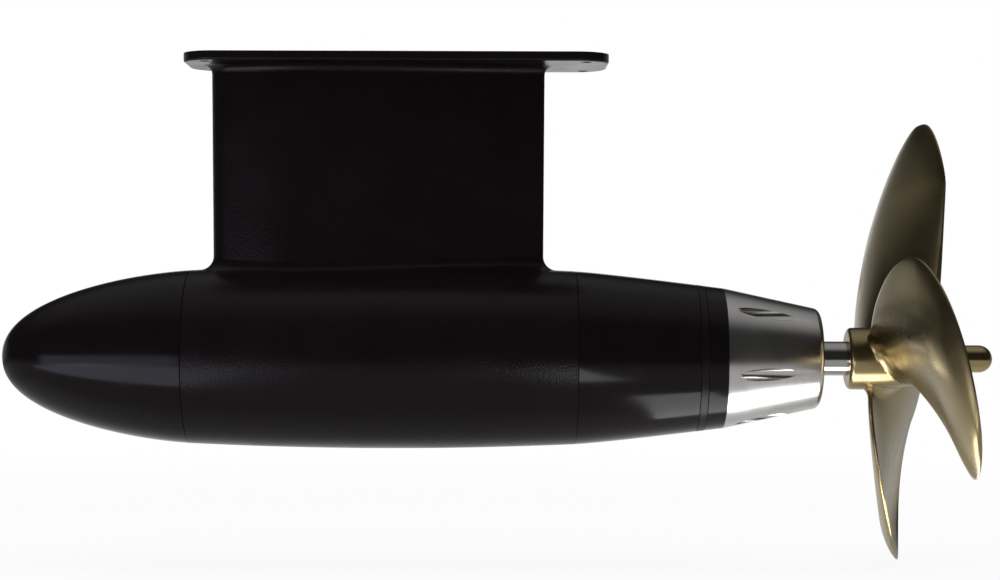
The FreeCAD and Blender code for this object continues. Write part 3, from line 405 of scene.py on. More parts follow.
FINISHES: dict[str, Finish] = {
    "cast_housing": Finish((0.0042, 0.0028, 0.0031), (0.0056, 0.0040, 0.0043), (0.20, 0.30),
                           Relief.CAST, 480.0, 0.00018, specular=0.12),
    "black_coat": Finish((0.0036, 0.0025, 0.0028), (0.0048, 0.0035, 0.0038), (0.12, 0.19),
                         Relief.SPRAYED, 420.0, 0.00002, specular=0.12),
    "isolating_plastic": Finish((0.0040, 0.0028, 0.0030), (0.0058, 0.0042, 0.0045), (0.26, 0.36),
                                Relief.TURNED, 900.0, 0.00001, specular=0.12),
    "brushed_stainless": Finish((0.55, 0.54, 0.525), (0.47, 0.46, 0.45), (0.18, 0.27),
                                Relief.TURNED, 1500.0, 0.000006, metallic=1.0),
    "polished_stainless": Finish((0.44, 0.425, 0.41), (0.38, 0.37, 0.355), (0.08, 0.14),
                                 Relief.TURNED, 1800.0, 0.000002, metallic=1.0),
    "screw_steel": Finish((0.50, 0.50, 0.50), (0.42, 0.42, 0.43), (0.22, 0.34),
                          Relief.TURNED, 2200.0, 0.000004, metallic=1.0),
    "seal_rubber": Finish((0.012, 0.012, 0.012), (0.020, 0.020, 0.020), (0.45, 0.6),
                          Relief.MOULDED, 1200.0, 0.00002),
    "grommet_rubber": Finish((0.016, 0.016, 0.016), (0.026, 0.026, 0.026), (0.5, 0.65),
                             Relief.MOULDED, 1100.0, 0.00003),
    "bush_bronze": Finish((0.46, 0.33, 0.16), (0.38, 0.26, 0.12), (0.22, 0.34),
                          Relief.TURNED, 1500.0, 0.000004, metallic=1.0),
    "polished_bronze": Finish((0.33, 0.265, 0.135), (0.25, 0.20, 0.10), (0.24, 0.36),
                              Relief.BUFFED, 420.0, 0.00005, metallic=1.0),
    "nut_bronze": Finish((0.38, 0.30, 0.15), (0.30, 0.23, 0.11), (0.10, 0.2),
                         Relief.TURNED, 1500.0, 0.000003, metallic=1.0),
    "machined_aluminium": Finish((0.62, 0.63, 0.64), (0.54, 0.55, 0.56), (0.26, 0.36),
                                 Relief.TURNED, 1300.0, 0.000005, metallic=1.0),
    "spring_steel": Finish((0.05, 0.05, 0.055), (0.08, 0.08, 0.085), (0.35, 0.5),
                           Relief.MOULDED, 1500.0, 0.000008, metallic=0.6),
    "bearing_steel": Finish((0.56, 0.56, 0.58), (0.50, 0.50, 0.52), (0.10, 0.18),
                            Relief.TURNED, 2400.0, 0.000002, metallic=1.0),
    "circuit_board": Finish((0.010, 0.10, 0.035), (0.016, 0.14, 0.05), (0.25, 0.4),
                            Relief.MOULDED, 700.0, 0.00002, coat=0.4),
    "core_steel": Finish((0.20, 0.20, 0.21), (0.27, 0.27, 0.28), (0.35, 0.5),
                         Relief.LAMINATED, 320.0, 0.00005, metallic=0.9),
    "copper_winding": Finish((0.40, 0.14, 0.05), (0.52, 0.21, 0.08), (0.18, 0.3),
                             Relief.WOUND, 160.0, 0.0003, metallic=0.8, coat=0.5),
    "magnet_coat": Finish((0.48, 0.48, 0.50), (0.40, 0.40, 0.42), (0.15, 0.28),
                          Relief.MOULDED, 900.0, 0.000006, metallic=1.0),
}


class Workshop:
    """Makes named pieces out of meshes, and dresses them in the finishes."""

    def __init__(self) -> None:
        """Build every finish's material."""
        effects = SharedEffects()
        self.materials = {name: finish.material(name, effects) for name, finish in FINISHES.items()}

    def dress_solids(self) -> None:
        """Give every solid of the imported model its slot's material."""
        for part in frame["record"]["subparts"]:
            node = frame["nodes"][part["node"]]
            node.data.materials.clear()
            node.data.materials.append(self.materials[part["material_slot"]])

    def piece(self, name: str, mesh: bmesh.types.BMesh, slot: str, body: str,
              stands_for: Iterable[str], sharp: float = 32.0) -> None:
        """Make a finished piece from a mesh.

        Args:
            name: The piece's name.
            mesh: The mesh, which is used up.
            slot: The record's material slot.
            body: The CAD body that carries the piece.
            stands_for: CAD nodes that the piece replaces.
            sharp: Angle in degrees past which an edge is sharp.
        """
        thing = placed(name, mesh)
        thing.data.shade_smooth()
        thing.data.set_sharp_from_angle(angle=math.radians(sharp))
        thing.data.materials.append(self.materials[slot])
        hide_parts(*stands_for)
        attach(thing, body)
        log.info("%s: %d faces", name, len(thing.data.polygons))


def placed(name: str, mesh: bmesh.types.BMesh) -> bpy.types.Object:
    """Put a mesh into the scene.

    Args:
        name: The name of its object.
        mesh: The mesh, which is used up.

    Returns:
        The object.
    """
    data = bpy.data.meshes.new(name)
    mesh.to_mesh(data)
    mesh.free()
    thing = bpy.data.objects.new(name, data)
    bpy.context.scene.collection.objects.link(thing)
    return thing


def turned(outline: Outline, steps: int = TURN_STEPS) -> bmesh.types.BMesh:
    """Turn a closed outline about the shaft axis.

    Args:
        outline: Points (x, distance from the axis). The last joins the first unless both lie on
            the axis.
        steps: Steps round the full turn.

    Returns:
        The closed mesh, faces outwards.
    """
    mesh = bmesh.new()
    points = [mesh.verts.new((x, 0.0, AXIS_Z + radius)) for x, radius in outline]
    pairs = list(zip(points, points[1:]))
    if outline[0][1] > 0 or outline[-1][1] > 0:
        pairs.append((points[-1], points[0]))
    edges = [mesh.edges.new(pair) for pair in pairs]
    bmesh.ops.spin(mesh, geom=points + edges, cent=(0, 0, AXIS_Z), axis=(1, 0, 0),
                   angle=FULL_TURN, steps=steps, use_merge=True)
    bmesh.ops.remove_doubles(mesh, verts=mesh.verts, dist=MERGE_DISTANCE)
    bmesh.ops.recalc_face_normals(mesh, faces=mesh.faces)
    return mesh


def arc(middle: tuple[float, float], radius: float, first: float, last: float,
        steps: int = 6) -> Outline:
    """Points of an arc in the outline's plane.

    Args:
        middle: The arc's centre (x, distance from the axis).
        radius: The arc's radius.
        first: First angle in degrees, from +X towards the outside.
        last: Last angle in degrees.
        steps: Steps along the arc.

    Returns:
        The points from first to last.
    """
    points = []
    for index in range(steps + 1):
        angle = math.radians(first + (last - first) * index / steps)
        points.append((middle[0] + radius * math.cos(angle), middle[1] + radius * math.sin(angle)))
    return points


def bar(front: float, rear: float, radius: float, z: float, sides: int) -> bmesh.types.BMesh:
    """A closed bar parallel to the shaft axis.

    Args:
        front: Its front end.
        rear: Its rear end.
        radius: Its radius, to the corners.
        z: The height of its middle.
        sides: Its number of sides.

    Returns:
        The mesh.
    """
    mesh = bmesh.new()
    place = (Matrix.Translation(((front + rear) / 2, 0, z))
             @ Matrix.Rotation(math.pi / 2, 4, "Y"))
    bmesh.ops.create_cone(mesh, cap_ends=True, segments=sides, radius1=radius, radius2=radius,
                          depth=rear - front, matrix=place)
    return mesh


def rounded(mesh: bmesh.types.BMesh, rear: float) -> None:
    """Round the edges of a mesh's rear end.

    Args:
        mesh: The mesh.
        rear: Where its rear end lies.
    """
    rims = [edge for edge in mesh.edges
            if all(vert.co.x > rear - MERGE_DISTANCE for vert in edge.verts)]
    bmesh.ops.bevel(mesh, geom=rims, offset=END_ROUND, offset_type="OFFSET", segments=3,
                    profile=0.5, affect="EDGES", material=-1)


def joined(meshes: Iterable[bmesh.types.BMesh]) -> bmesh.types.BMesh:
    """Join several meshes.

    Args:
        meshes: The meshes, which are used up.

    Returns:
        One mesh.
    """
    whole = bmesh.new()
    for mesh in meshes:
        data = bpy.data.meshes.new("part")
        mesh.to_mesh(data)
        mesh.free()
        whole.from_mesh(data)
        bpy.data.meshes.remove(data)
    return whole


def carved(mesh: bmesh.types.BMesh, tool: bmesh.types.BMesh, operation: str) -> bmesh.types.BMesh:
    """Combine two closed meshes, which are used up.

    Args:
        mesh: The mesh that is worked on.
        tool: The mesh that cuts it or is added.
        operation: DIFFERENCE, UNION or INTERSECT.

    Returns:
        The new mesh.
    """
    things = [placed("carving", shape) for shape in (mesh, tool)]
    cut = things[0].modifiers.new("cut", "BOOLEAN")
    cut.operation = operation
    cut.solver = "EXACT"
    cut.use_self = True
    cut.object = things[1]
    ready = things[0].evaluated_get(bpy.context.evaluated_depsgraph_get())
    result = bmesh.new()
    result.from_mesh(ready.to_mesh())
    ready.to_mesh_clear()
    for thing in things:
        data = thing.data
        bpy.data.objects.remove(thing)
        bpy.data.meshes.remove(data)
    bmesh.ops.remove_doubles(result, verts=result.verts, dist=MERGE_DISTANCE)
    return result


@dataclass
class NoseCone:
    """The smooth nose, screwed into the front of the barrel."""

    length: float = 0.165
    seam_radius: float = 0.076
    spigot_radius: float = 0.06895
    inner_radius: float = 0.06195
    tip_wall: float = 0.016
    fullness: float = 1.6
    side_fullness: float = 2.25
    seam_share: float = 0.066
    seam_edge: float = 0.0006
    edge_drop: float = 0.00005
    curve_steps: int = 60

    def height(self, share: float) -> float:
        """Height of the nose's curve, as a share of its full height."""
        return (1 - share ** self.fullness) ** (1 / self.side_fullness)

    def curve(self, tip: float, rear: float, rear_radius: float) -> Outline:
        """Draw the nose's curve.

        Args:
            tip: Where it starts, on the axis.
            rear: Where it ends.
            rear_radius: Its radius there.

        Returns:
            Its points, from the tip.
        """
        points = []
        for step in range(self.curve_steps + 1):
            travel = 1 - math.cos(math.pi / 2 * step / self.curve_steps)
            share = 1 - travel * (1 - self.seam_share)
            radius = rear_radius * self.height(share) / self.height(self.seam_share)
            points.append((tip + travel * (rear - tip), radius))
        return points

    def build(self, shop: Workshop) -> None:
        """Make the nose cone with its spigot and a fine seam edge.

        Args:
            shop: Where it is finished.
        """
        low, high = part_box("nose_cone")
        seam = low.x + self.length
        skin = self.curve(low.x, seam, self.seam_radius)
        kept = [point for point in skin if point[0] < seam - self.seam_edge]
        edge = [(seam - self.seam_edge, skin[-1][1] - self.edge_drop),
                (seam, self.seam_radius - self.seam_edge)]
        spigot = [(seam, self.spigot_radius), (high.x, self.spigot_radius)]
        hollow = self.curve(low.x + self.tip_wall, high.x, self.inner_radius)
        outline = kept + edge + spigot + hollow[::-1]
        shop.piece("nose_cone_skin", turned(outline), "black_coat", "housing", ["nose_cone"])


@dataclass
class TailEnd:
    """The tapered tail, the isolating ring and the seal carrier, whose skins make one curve."""

    barrel_rear: float = 0.1574
    seam_radius: float = 0.076
    rim_radius: float = 0.0616
    start_slope: float = 16.0 / 338.4
    end_slope: float = 0.125
    edge: float = 0.0004
    curve_steps: int = 28
    spigot_radius: float = 0.06895
    bore_radius: float = 0.04605
    wall_radii: tuple[float, float, float] = (0.060, 0.058, 0.051)
    collar_length: float = 0.025
    web_place: float = 0.025
    web_thickness: float = 0.005
    web_bore_radius: float = 0.035
    carrier_gap: float = 0.00005
    carrier_hole_radius: float = 0.017
    seal_seat_radius: float = 0.02355
    seal_seat_depth: float = 0.016
    bush_seat_radius: float = 0.02105
    bush_seat_depth: float = 0.0223

    def __post_init__(self) -> None:
        """Work out the curve's middle control point."""
        self.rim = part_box("end_cone")[0].x
        run = self.rim - self.barrel_rear
        meet = ((self.rim_radius + self.end_slope * run - self.seam_radius)
                / (self.end_slope - self.start_slope))
        self.middle = (self.barrel_rear + meet, self.seam_radius - self.start_slope * meet)

    def skin_radius(self, x: float) -> float:
        """Work out the radius of the tail's skin.

        Args:
            x: The place along the shaft.

        Returns:
            The radius there.
        """
        bend = self.barrel_rear - 2 * self.middle[0] + self.rim
        climb = 2 * (self.middle[0] - self.barrel_rear)
        share = (-climb + math.sqrt(climb ** 2 - 4 * bend * (self.barrel_rear - x))) / (2 * bend)
        return (self.seam_radius * (1 - share) ** 2 + 2 * self.middle[1] * share * (1 - share)
                + self.rim_radius * share ** 2)

    def band(self, front: float, rear: float, inner: Outline) -> bmesh.types.BMesh:
        """A turned band of the tail, with a fine edge at each end.

        Args:
            front: Where its skin starts.
            rear: Where its skin ends.
            inner: The rest of its outline, from the rear end back to the front end.

        Returns:
            The mesh.
        """
        skin = [(front, self.skin_radius(front) - self.edge)]
        for step in range(self.curve_steps + 1):
            x = front + self.edge + (rear - front - 2 * self.edge) * step / self.curve_steps
            skin.append((x, self.skin_radius(x)))
        skin.append((rear, self.skin_radius(rear) - self.edge))
        return turned(skin + inner)

    def build(self, shop: Workshop) -> None:
        """Make the three bands that show.

        Args:
            shop: Where they are finished.
        """
        tail_low, tail_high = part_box("tail_housing")
        ring_low, ring_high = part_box("isolating_ring")
        carrier_low, carrier_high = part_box("seal_carrier")
        bore, web = self.bore_radius, self.web_bore_radius
        wall, wall_front, wall_rear = self.wall_radii
        collar_front = tail_high.x - self.collar_length
        web_front = tail_low.x + self.web_place
        web_rear = web_front + self.web_thickness
        tail = [(tail_high.x, bore), (collar_front, bore), (collar_front, wall_rear),
                (web_rear, wall_front), (web_rear, web), (web_front, web), (web_front, wall),
                (tail_low.x, wall), (tail_low.x, self.spigot_radius),
                (self.barrel_rear, self.spigot_radius)]
        ring = [(ring_high.x, bore), (ring_low.x, bore)]
        hole, seat, bush = self.carrier_hole_radius, self.seal_seat_radius, self.bush_seat_radius
        seat_front = carrier_high.x - self.seal_seat_depth
        bush_rear = carrier_low.x + self.bush_seat_depth
        spigot = bore - self.carrier_gap
        carrier = [(carrier_high.x, seat), (seat_front, seat), (seat_front, hole),
                   (bush_rear, hole), (bush_rear, bush), (carrier_low.x, bush),
                   (carrier_low.x, spigot), (ring_high.x, spigot)]
        shop.piece("tail_skin", self.band(self.barrel_rear, tail_high.x, tail), "black_coat",
                   "housing", ["tail_housing"])
        shop.piece("isolating_band", self.band(ring_low.x, ring_high.x, ring),
                   "isolating_plastic", "housing", ["isolating_ring"])
        shop.piece("carrier_rim", self.band(ring_high.x, carrier_high.x, carrier), "black_coat",
                   "housing", ["seal_carrier"])


@dataclass
class EndCone:
    """The stainless cone with its scalloped screw pockets, and the screws in them."""

    front_radius: float = 0.0616
    rear_radius: float = 0.0435
    bore_radius: float = 0.016
    rim_round: float = 0.0065
    rim_inset: float = 0.80
    rim_end_angle: float = 5.0
    dome: float = 0.0024
    turn_steps: int = 240
    screw_count: int = 6
    screw_circle: float = 0.0541
    first_angle: float = -16.0
    pocket_radius: float = 0.0055
    pocket_floor: float = 0.006
    pocket_run_out: float = 0.01
    head_radius: float = 0.005
    head_height: float = 0.006
    socket_radius: float = 0.0029
    edge: float = 0.0004

    def around(self, make: Callable[[], bmesh.types.BMesh]) -> bmesh.types.BMesh:
        """One mesh of copies round the axis.

        Args:
            make: A function that makes the copy straight below the axis.

        Returns:
            The copies, joined.
        """
        copies = []
        for index in range(self.screw_count):
            copy = make()
            angle = math.radians(self.first_angle) + index * FULL_TURN / self.screw_count
            bmesh.ops.rotate(copy, verts=copy.verts, cent=(0, 0, AXIS_Z),
                             matrix=Matrix.Rotation(angle, 3, "X"))
            copies.append(copy)
        return joined(copies)

    def outline(self, front: float, rear: float) -> Outline:
        """Draw the cone's outline, with its rounded rear rim.

        Args:
            front: Its front face.
            rear: Its rear face.

        Returns:
            The outline's points.
        """
        slope = math.atan2(self.front_radius - self.rear_radius, rear - self.dome - front)
        middle_x = rear - self.dome - self.rim_round * self.rim_inset
        middle_r = (self.front_radius - math.tan(slope) * (middle_x - front)
                    - self.rim_round / math.cos(slope))
        rim = arc((middle_x, middle_r), self.rim_round, 90 - math.degrees(slope),
                  self.rim_end_angle, 10)
        bore_edge = rear - self.edge
        return ([(front, self.bore_radius), (front, self.front_radius - self.edge),
                 (front + self.edge, self.front_radius)] + rim
                + [(bore_edge, self.bore_radius + self.edge), (bore_edge, self.bore_radius)])

    def screw(self, front: float) -> bmesh.types.BMesh:
        """Make a cap screw's head with its hexagon socket, straight below the axis.

        Args:
            front: The head's seat.

        Returns:
            The mesh.
        """
        z = AXIS_Z - self.screw_circle
        rear = front + self.head_height
        head = bar(front, rear, self.head_radius, z, 48)
        rounded(head, rear)
        socket = bar(rear - self.head_height / 2, rear + MM, self.socket_radius, z, 6)
        return carved(head, socket, "DIFFERENCE")

    def build(self, shop: Workshop) -> None:
        """Make the cone and the screws.

        Args:
            shop: Where they are finished.
        """
        low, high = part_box("end_cone")
        front = low.x + self.pocket_floor
        rear = high.x + self.pocket_run_out
        pockets = self.around(lambda: bar(front, rear, self.pocket_radius,
                                          AXIS_Z - self.screw_circle, 72))
        cone = carved(turned(self.outline(low.x, high.x), self.turn_steps), pockets, "DIFFERENCE")
        shop.piece("end_cone_shell", cone, "brushed_stainless", "housing", ["end_cone"])
        screws = self.around(lambda: self.screw(front))
        shop.piece("cone_cap_screws", screws, "screw_steel", "housing", ["end_cone_screws"])


@dataclass
class Blade:
    """The shape of one propeller blade, from its design values."""

    radius: float = 0.2159
    root_thickness: float = 0.012
    tip_thickness: float = 0.0022
    width: float = 0.1947
    root_width: float = 0.060
    tip_width: float = 0.0033
    widest_share: float = 0.716
    root_curve: float = 1.41
    tip_curve: float = 1.69
    root_share: float = 0.08
    camber: float = 0.058
    pitch_ratio: tuple[float, float, float] = (0.55, 0.545, 0.43)
    skew_degrees: tuple[float, float, float] = (-4.7, 0.0, 13.5)
    rake: tuple[float, float, float] = (-0.0086, 0.0, 0.0134)
    fillet: float = 0.012
    fillet_reach: float = 0.5
    edge_run: float = 0.09
    edge_share: float = 0.12
    back_share: float = 0.75
    face_share: float = 0.13
    root_depth: float = 0.004
    root_stations: int = 14
    section_points: int = 72
    stations: int = 64

    @staticmethod
    def through(share: float, near_root: float, middle: float, tip: float) -> float:
        """Draw a curve through three design values, at 0.4, 0.7 and 1.0 of the radius.

        Args:
            share: Share of the radius.
            near_root: The value at 0.4.
            middle: The value at 0.7.
            tip: The value at 1.0.

        Returns:
            The value at that share.
        """
        return (near_root * (share - 0.7) * (share - 1.0) / 0.18
                - middle * (share - 0.4) * (share - 1.0) / 0.09
                + tip * (share - 0.4) * (share - 0.7) / 0.18)

    def chord(self, share: float) -> float:
        """Work out the blade's width along its section.

        Args:
            share: Share of the radius.

        Returns:
            The width there.
        """
        if share < self.widest_share:
            fall = (self.widest_share - share) / (self.widest_share - self.root_share)
            fullness = 1 - fall ** self.root_curve
            return self.root_width + (self.width - self.root_width) * fullness
        rise = (share - self.widest_share) / (1 - self.widest_share)
        fullness = (1 - rise ** self.tip_curve) ** (1 / self.tip_curve)
        return self.tip_width + (self.width - self.tip_width) * fullness

    def place(self, share: float, turn: float, middle_x: float, hub_radius: float) -> Vector:
        """A point of the blade's skin.

        Args:
            share: Share of the propeller's radius.
            turn: Angle round the section, from 0 at the leading edge.
            middle_x: Where the blade's reference line leaves the hub.
            hub_radius: The hub's radius there.

        Returns:
            The point, for a blade that stands straight up.
        """
        radius = share * self.radius
        chord = self.chord(share)
        thickness = self.root_thickness + (self.tip_thickness - self.root_thickness) * share
        pitch = self.through(share, *self.pitch_ratio) * 2 * self.radius
        lean = math.atan2(pitch, FULL_TURN * radius)
        swing = math.radians(self.through(share, *self.skew_degrees))
        start_x = middle_x + self.through(share, *self.rake)
        rise = abs(math.sin(turn))
        blunt = min(1.0, rise / self.edge_run)
        edge = self.edge_share * math.sqrt(1 - (1 - blunt) ** 2)
        gap = max(0.0, radius - hub_radius)
        flare = 0.0
        if gap < self.fillet:
            flare = self.fillet * (1 - math.sqrt(1 - (1 - gap / self.fillet) ** 2))
        along = -(chord / 2 + self.fillet_reach * flare) * math.cos(turn)
        lift = -self.camber * chord * math.sin(turn) ** 2
        side = -1.0 if math.sin(turn) > 0 else 1.0
        full = self.back_share if side < 0 else self.face_share
        lift += side * (thickness * (edge + full * rise) + flare * math.sqrt(rise))
        x = start_x + along * math.sin(lean) + lift * math.cos(lean)
        angle = swing + (along * math.cos(lean) - lift * math.sin(lean)) / radius
        return Vector((x, -radius * math.sin(angle), AXIS_Z + radius * math.cos(angle)))

    def shares(self, hub_radius: float) -> list[float]:
        """Place the sections, closer together at the root and the tip.

        Args:
            hub_radius: The hub's radius at the blade.

        Returns:
            Their shares of the radius, from inside the hub.
        """
        foot = (hub_radius - self.root_depth) / self.radius
        neck = (hub_radius + self.fillet) / self.radius
        near = [foot + (neck - foot) * step / self.root_stations
                for step in range(self.root_stations)]
        far = [neck + (1 - neck) * math.sin(math.pi / 2 * step / self.stations)
               for step in range(self.stations + 1)]
        return near + far

    def skin(self, middle_x: float, hub_radius: float) -> bmesh.types.BMesh:
        """Make the closed skin of a blade that stands straight up.

        Args:
            middle_x: Where the blade's reference line leaves the hub.
            hub_radius: The hub's radius there.

        Returns:
            The mesh.
        """
        mesh = bmesh.new()
        turn = mesh.verts.layers.float.new("turn")
        ring = bmesh.ops.create_circle(mesh, segments=self.section_points, radius=1.0)["verts"]
        for index, vert in enumerate(ring):
            vert[turn] = FULL_TURN * index / self.section_points
        edges = list(mesh.edges)
        shares = self.shares(hub_radius)
        for vert in ring:
            vert.co = self.place(shares[0], vert[turn], middle_x, hub_radius)
        bmesh.ops.contextual_create(mesh, geom=edges)
        for share in shares[1:]:
            grown = bmesh.ops.extrude_edge_only(mesh, edges=edges)["geom"]
            edges = [item for item in grown if isinstance(item, bmesh.types.BMEdge)]
            for item in grown:
                if isinstance(item, bmesh.types.BMVert):
                    item.co = self.place(share, item[turn], middle_x, hub_radius)
        bmesh.ops.contextual_create(mesh, geom=edges)
        bmesh.ops.recalc_face_normals(mesh, faces=mesh.faces)
        return mesh


@dataclass
class Propeller:
    """The bronze propeller: hub and three blades, one casting."""

    blade_count: int = 3
    first_angle: float = -29.2
    blade_middle: float = 0.0599
    hub_length: float = 0.086
    hub_steps: int = 24
    front_radius: float = 0.027
    middle_radius: float = 0.0255
    rear_radius: float = 0.0175
    bore_radius: float = 0.01505
    bore_end_radius: float = 0.00805
    bore_end_share: float = 0.9
    edge_round: float = 0.004
    blade_sink: float = 0.0005
    washer_thickness: float = 0.002
    turn_steps: int = 144
    blade: Blade = field(default_factory=Blade)

    def hub_outline(self, front: float) -> Outline:
        """Draw the hub's outline, with a barrel-shaped flank.

        Args:
            front: The hub's front face.

        Returns:
            The outline's points.
        """
        rear = front + self.hub_length
        rise = self.middle_radius - (self.front_radius + self.rear_radius) / 2
        flank = []
        for step in range(self.hub_steps + 1):
            share = step / self.hub_steps
            x = front + self.edge_round + (self.hub_length - self.edge_round) * share
            along = (x - front) / self.hub_length
            radius = self.front_radius + (self.rear_radius - self.front_radius) * along
            flank.append((x, radius + rise * 4 * along * (1 - along)))
        start = arc((front + self.edge_round, flank[0][1] - self.edge_round), self.edge_round,
                    180, 96)
        bore_end = front + self.hub_length * self.bore_end_share
        return ([(front, self.bore_radius)] + start + flank
                + [(rear, self.bore_end_radius), (bore_end, self.bore_end_radius)])

    def build(self, shop: Workshop) -> None:
        """Make the casting.

        Args:
            shop: Where it is finished.
        """
        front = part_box("propeller_nut")[0].x - self.washer_thickness - self.hub_length
        casting = turned(self.hub_outline(front), self.turn_steps)
        for index in range(self.blade_count):
            skin = self.blade.skin(front + self.blade_middle, self.middle_radius - self.blade_sink)
            angle = math.radians(self.first_angle) + index * FULL_TURN / self.blade_count
            bmesh.ops.rotate(skin, verts=skin.verts, cent=(0, 0, AXIS_Z),
                             matrix=Matrix.Rotation(angle, 3, "X"))
            casting = carved(casting, skin, "UNION")
        shop.piece("propeller_casting", casting, "polished_bronze", "shaft", ["propeller"],
                   sharp=40.0)


@dataclass
class ShaftEnd:
    """What shows behind the propeller: the tab washer and the domed nut."""

    hex_length: float = 0.014
    hex_flat_radius: float = 0.0135
    chamfer_slope: float = 0.5
    dome_radius: float = 0.012
    cap_foot: float = 0.004
    washer_radius: float = 0.0165
    washer_thickness: float = 0.002
    washer_edge: float = 0.0003
    tab_width: float = 0.008
    tab_foot: float = 0.01355
    thread_radius: float = 0.00805

    def nut(self, front: float, tip: float) -> bmesh.types.BMesh:
        """Make the domed nut, with chamfered corners.

        Args:
            front: Its face against the washer.
            tip: The dome's tip.

        Returns:
            The mesh.
        """
        corner = self.hex_flat_radius / math.cos(math.pi / 6)
        rear = front + self.hex_length
        run = (corner - self.hex_flat_radius) * self.chamfer_slope
        block = bar(front, rear, corner, AXIS_Z, 6)
        drum = turned([(front, 0), (front, self.hex_flat_radius), (front + run, corner),
                       (rear - run, corner), (rear, self.hex_flat_radius), (rear, 0)],
                      SMALL_TURN_STEPS)
        hexagon = carved(block, drum, "INTERSECT")
        dome = arc((tip - self.dome_radius, 0), self.dome_radius, 90, 0, 24)
        dome[-1] = (tip, 0.0)
        foot = front + self.cap_foot
        cap = turned([(foot, 0.0), (foot, self.dome_radius)] + dome, SMALL_TURN_STEPS)
        return carved(hexagon, cap, "UNION")

    def tab(self, front: float, rear: float, side: int) -> bmesh.types.BMesh:
        """Make one bent tab, which lies along a flat of the nut.

        Args:
            front: Where the tab leaves the plate.
            rear: The tab's end.
            side: 1 for the tab above the axis, -1 for the one below.

        Returns:
            The mesh.
        """
        mesh = bmesh.new()
        middle = self.tab_foot + self.washer_thickness / 2
        place = (Matrix.Translation(((front + rear) / 2, 0, AXIS_Z + side * middle))
                 @ Matrix.Diagonal((rear - front, self.tab_width, self.washer_thickness, 1)))
        bmesh.ops.create_cube(mesh, size=1.0, matrix=place)
        rounded(mesh, rear)
        return mesh

    def washer(self, front: float, rear: float) -> bmesh.types.BMesh:
        """Make the tab washer: a plate with two tabs bent back along the nut's flats.

        Args:
            front: The plate's face against the hub.
            rear: The ends of the tabs.

        Returns:
            The mesh.
        """
        back = front + self.washer_thickness
        edge = self.washer_edge
        whole = turned([(front, self.thread_radius), (front, self.washer_radius - edge),
                        (front + edge, self.washer_radius), (back - edge, self.washer_radius),
                        (back, self.washer_radius - edge), (back, self.thread_radius)],
                       SMALL_TURN_STEPS)
        for side in (1, -1):
            whole = carved(whole, self.tab(front + edge, rear, side), "UNION")
        return whole

    def build(self, shop: Workshop) -> None:
        """Make the two pieces.

        Args:
            shop: Where they are finished.
        """
        nut_low, nut_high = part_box("propeller_nut")
        washer_low, washer_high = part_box("tab_washer")
        shop.piece("domed_nut", self.nut(nut_low.x, nut_high.x), "nut_bronze", "shaft",
                   ["propeller_nut"])
        shop.piece("lock_washer", self.washer(washer_low.x, washer_high.x), "bush_bronze", "shaft",
                   ["tab_washer"])


@dataclass(frozen=True)
class Lamp:
    """A soft area lamp, or a white card that a lamp lights, which gloss shows as such."""

    name: str
    place: Place
    aim: Place
    size: tuple[float, float]
    brightness: float
    colour: Colour = (1.0, 1.0, 1.0)
    in_gloss: bool = True

    def hang(self) -> None:
        """Add the lamp to the scene, unseen by the camera."""
        light = bpy.data.lights.new(self.name, "AREA")
        light.shape = "RECTANGLE"
        light.size, light.size_y = self.size
        light.energy = self.brightness * math.pi * self.size[0] * self.size[1]
        light.color = self.colour
        thing = bpy.data.objects.new(self.name, light)
        thing.location = self.place
        view = Vector(self.aim) - Vector(self.place)
        thing.rotation_euler = view.to_track_quat("-Z", "Y").to_euler()
        thing.visible_camera = False
        thing.visible_glossy = self.in_gloss
        bpy.context.scene.collection.objects.link(thing)


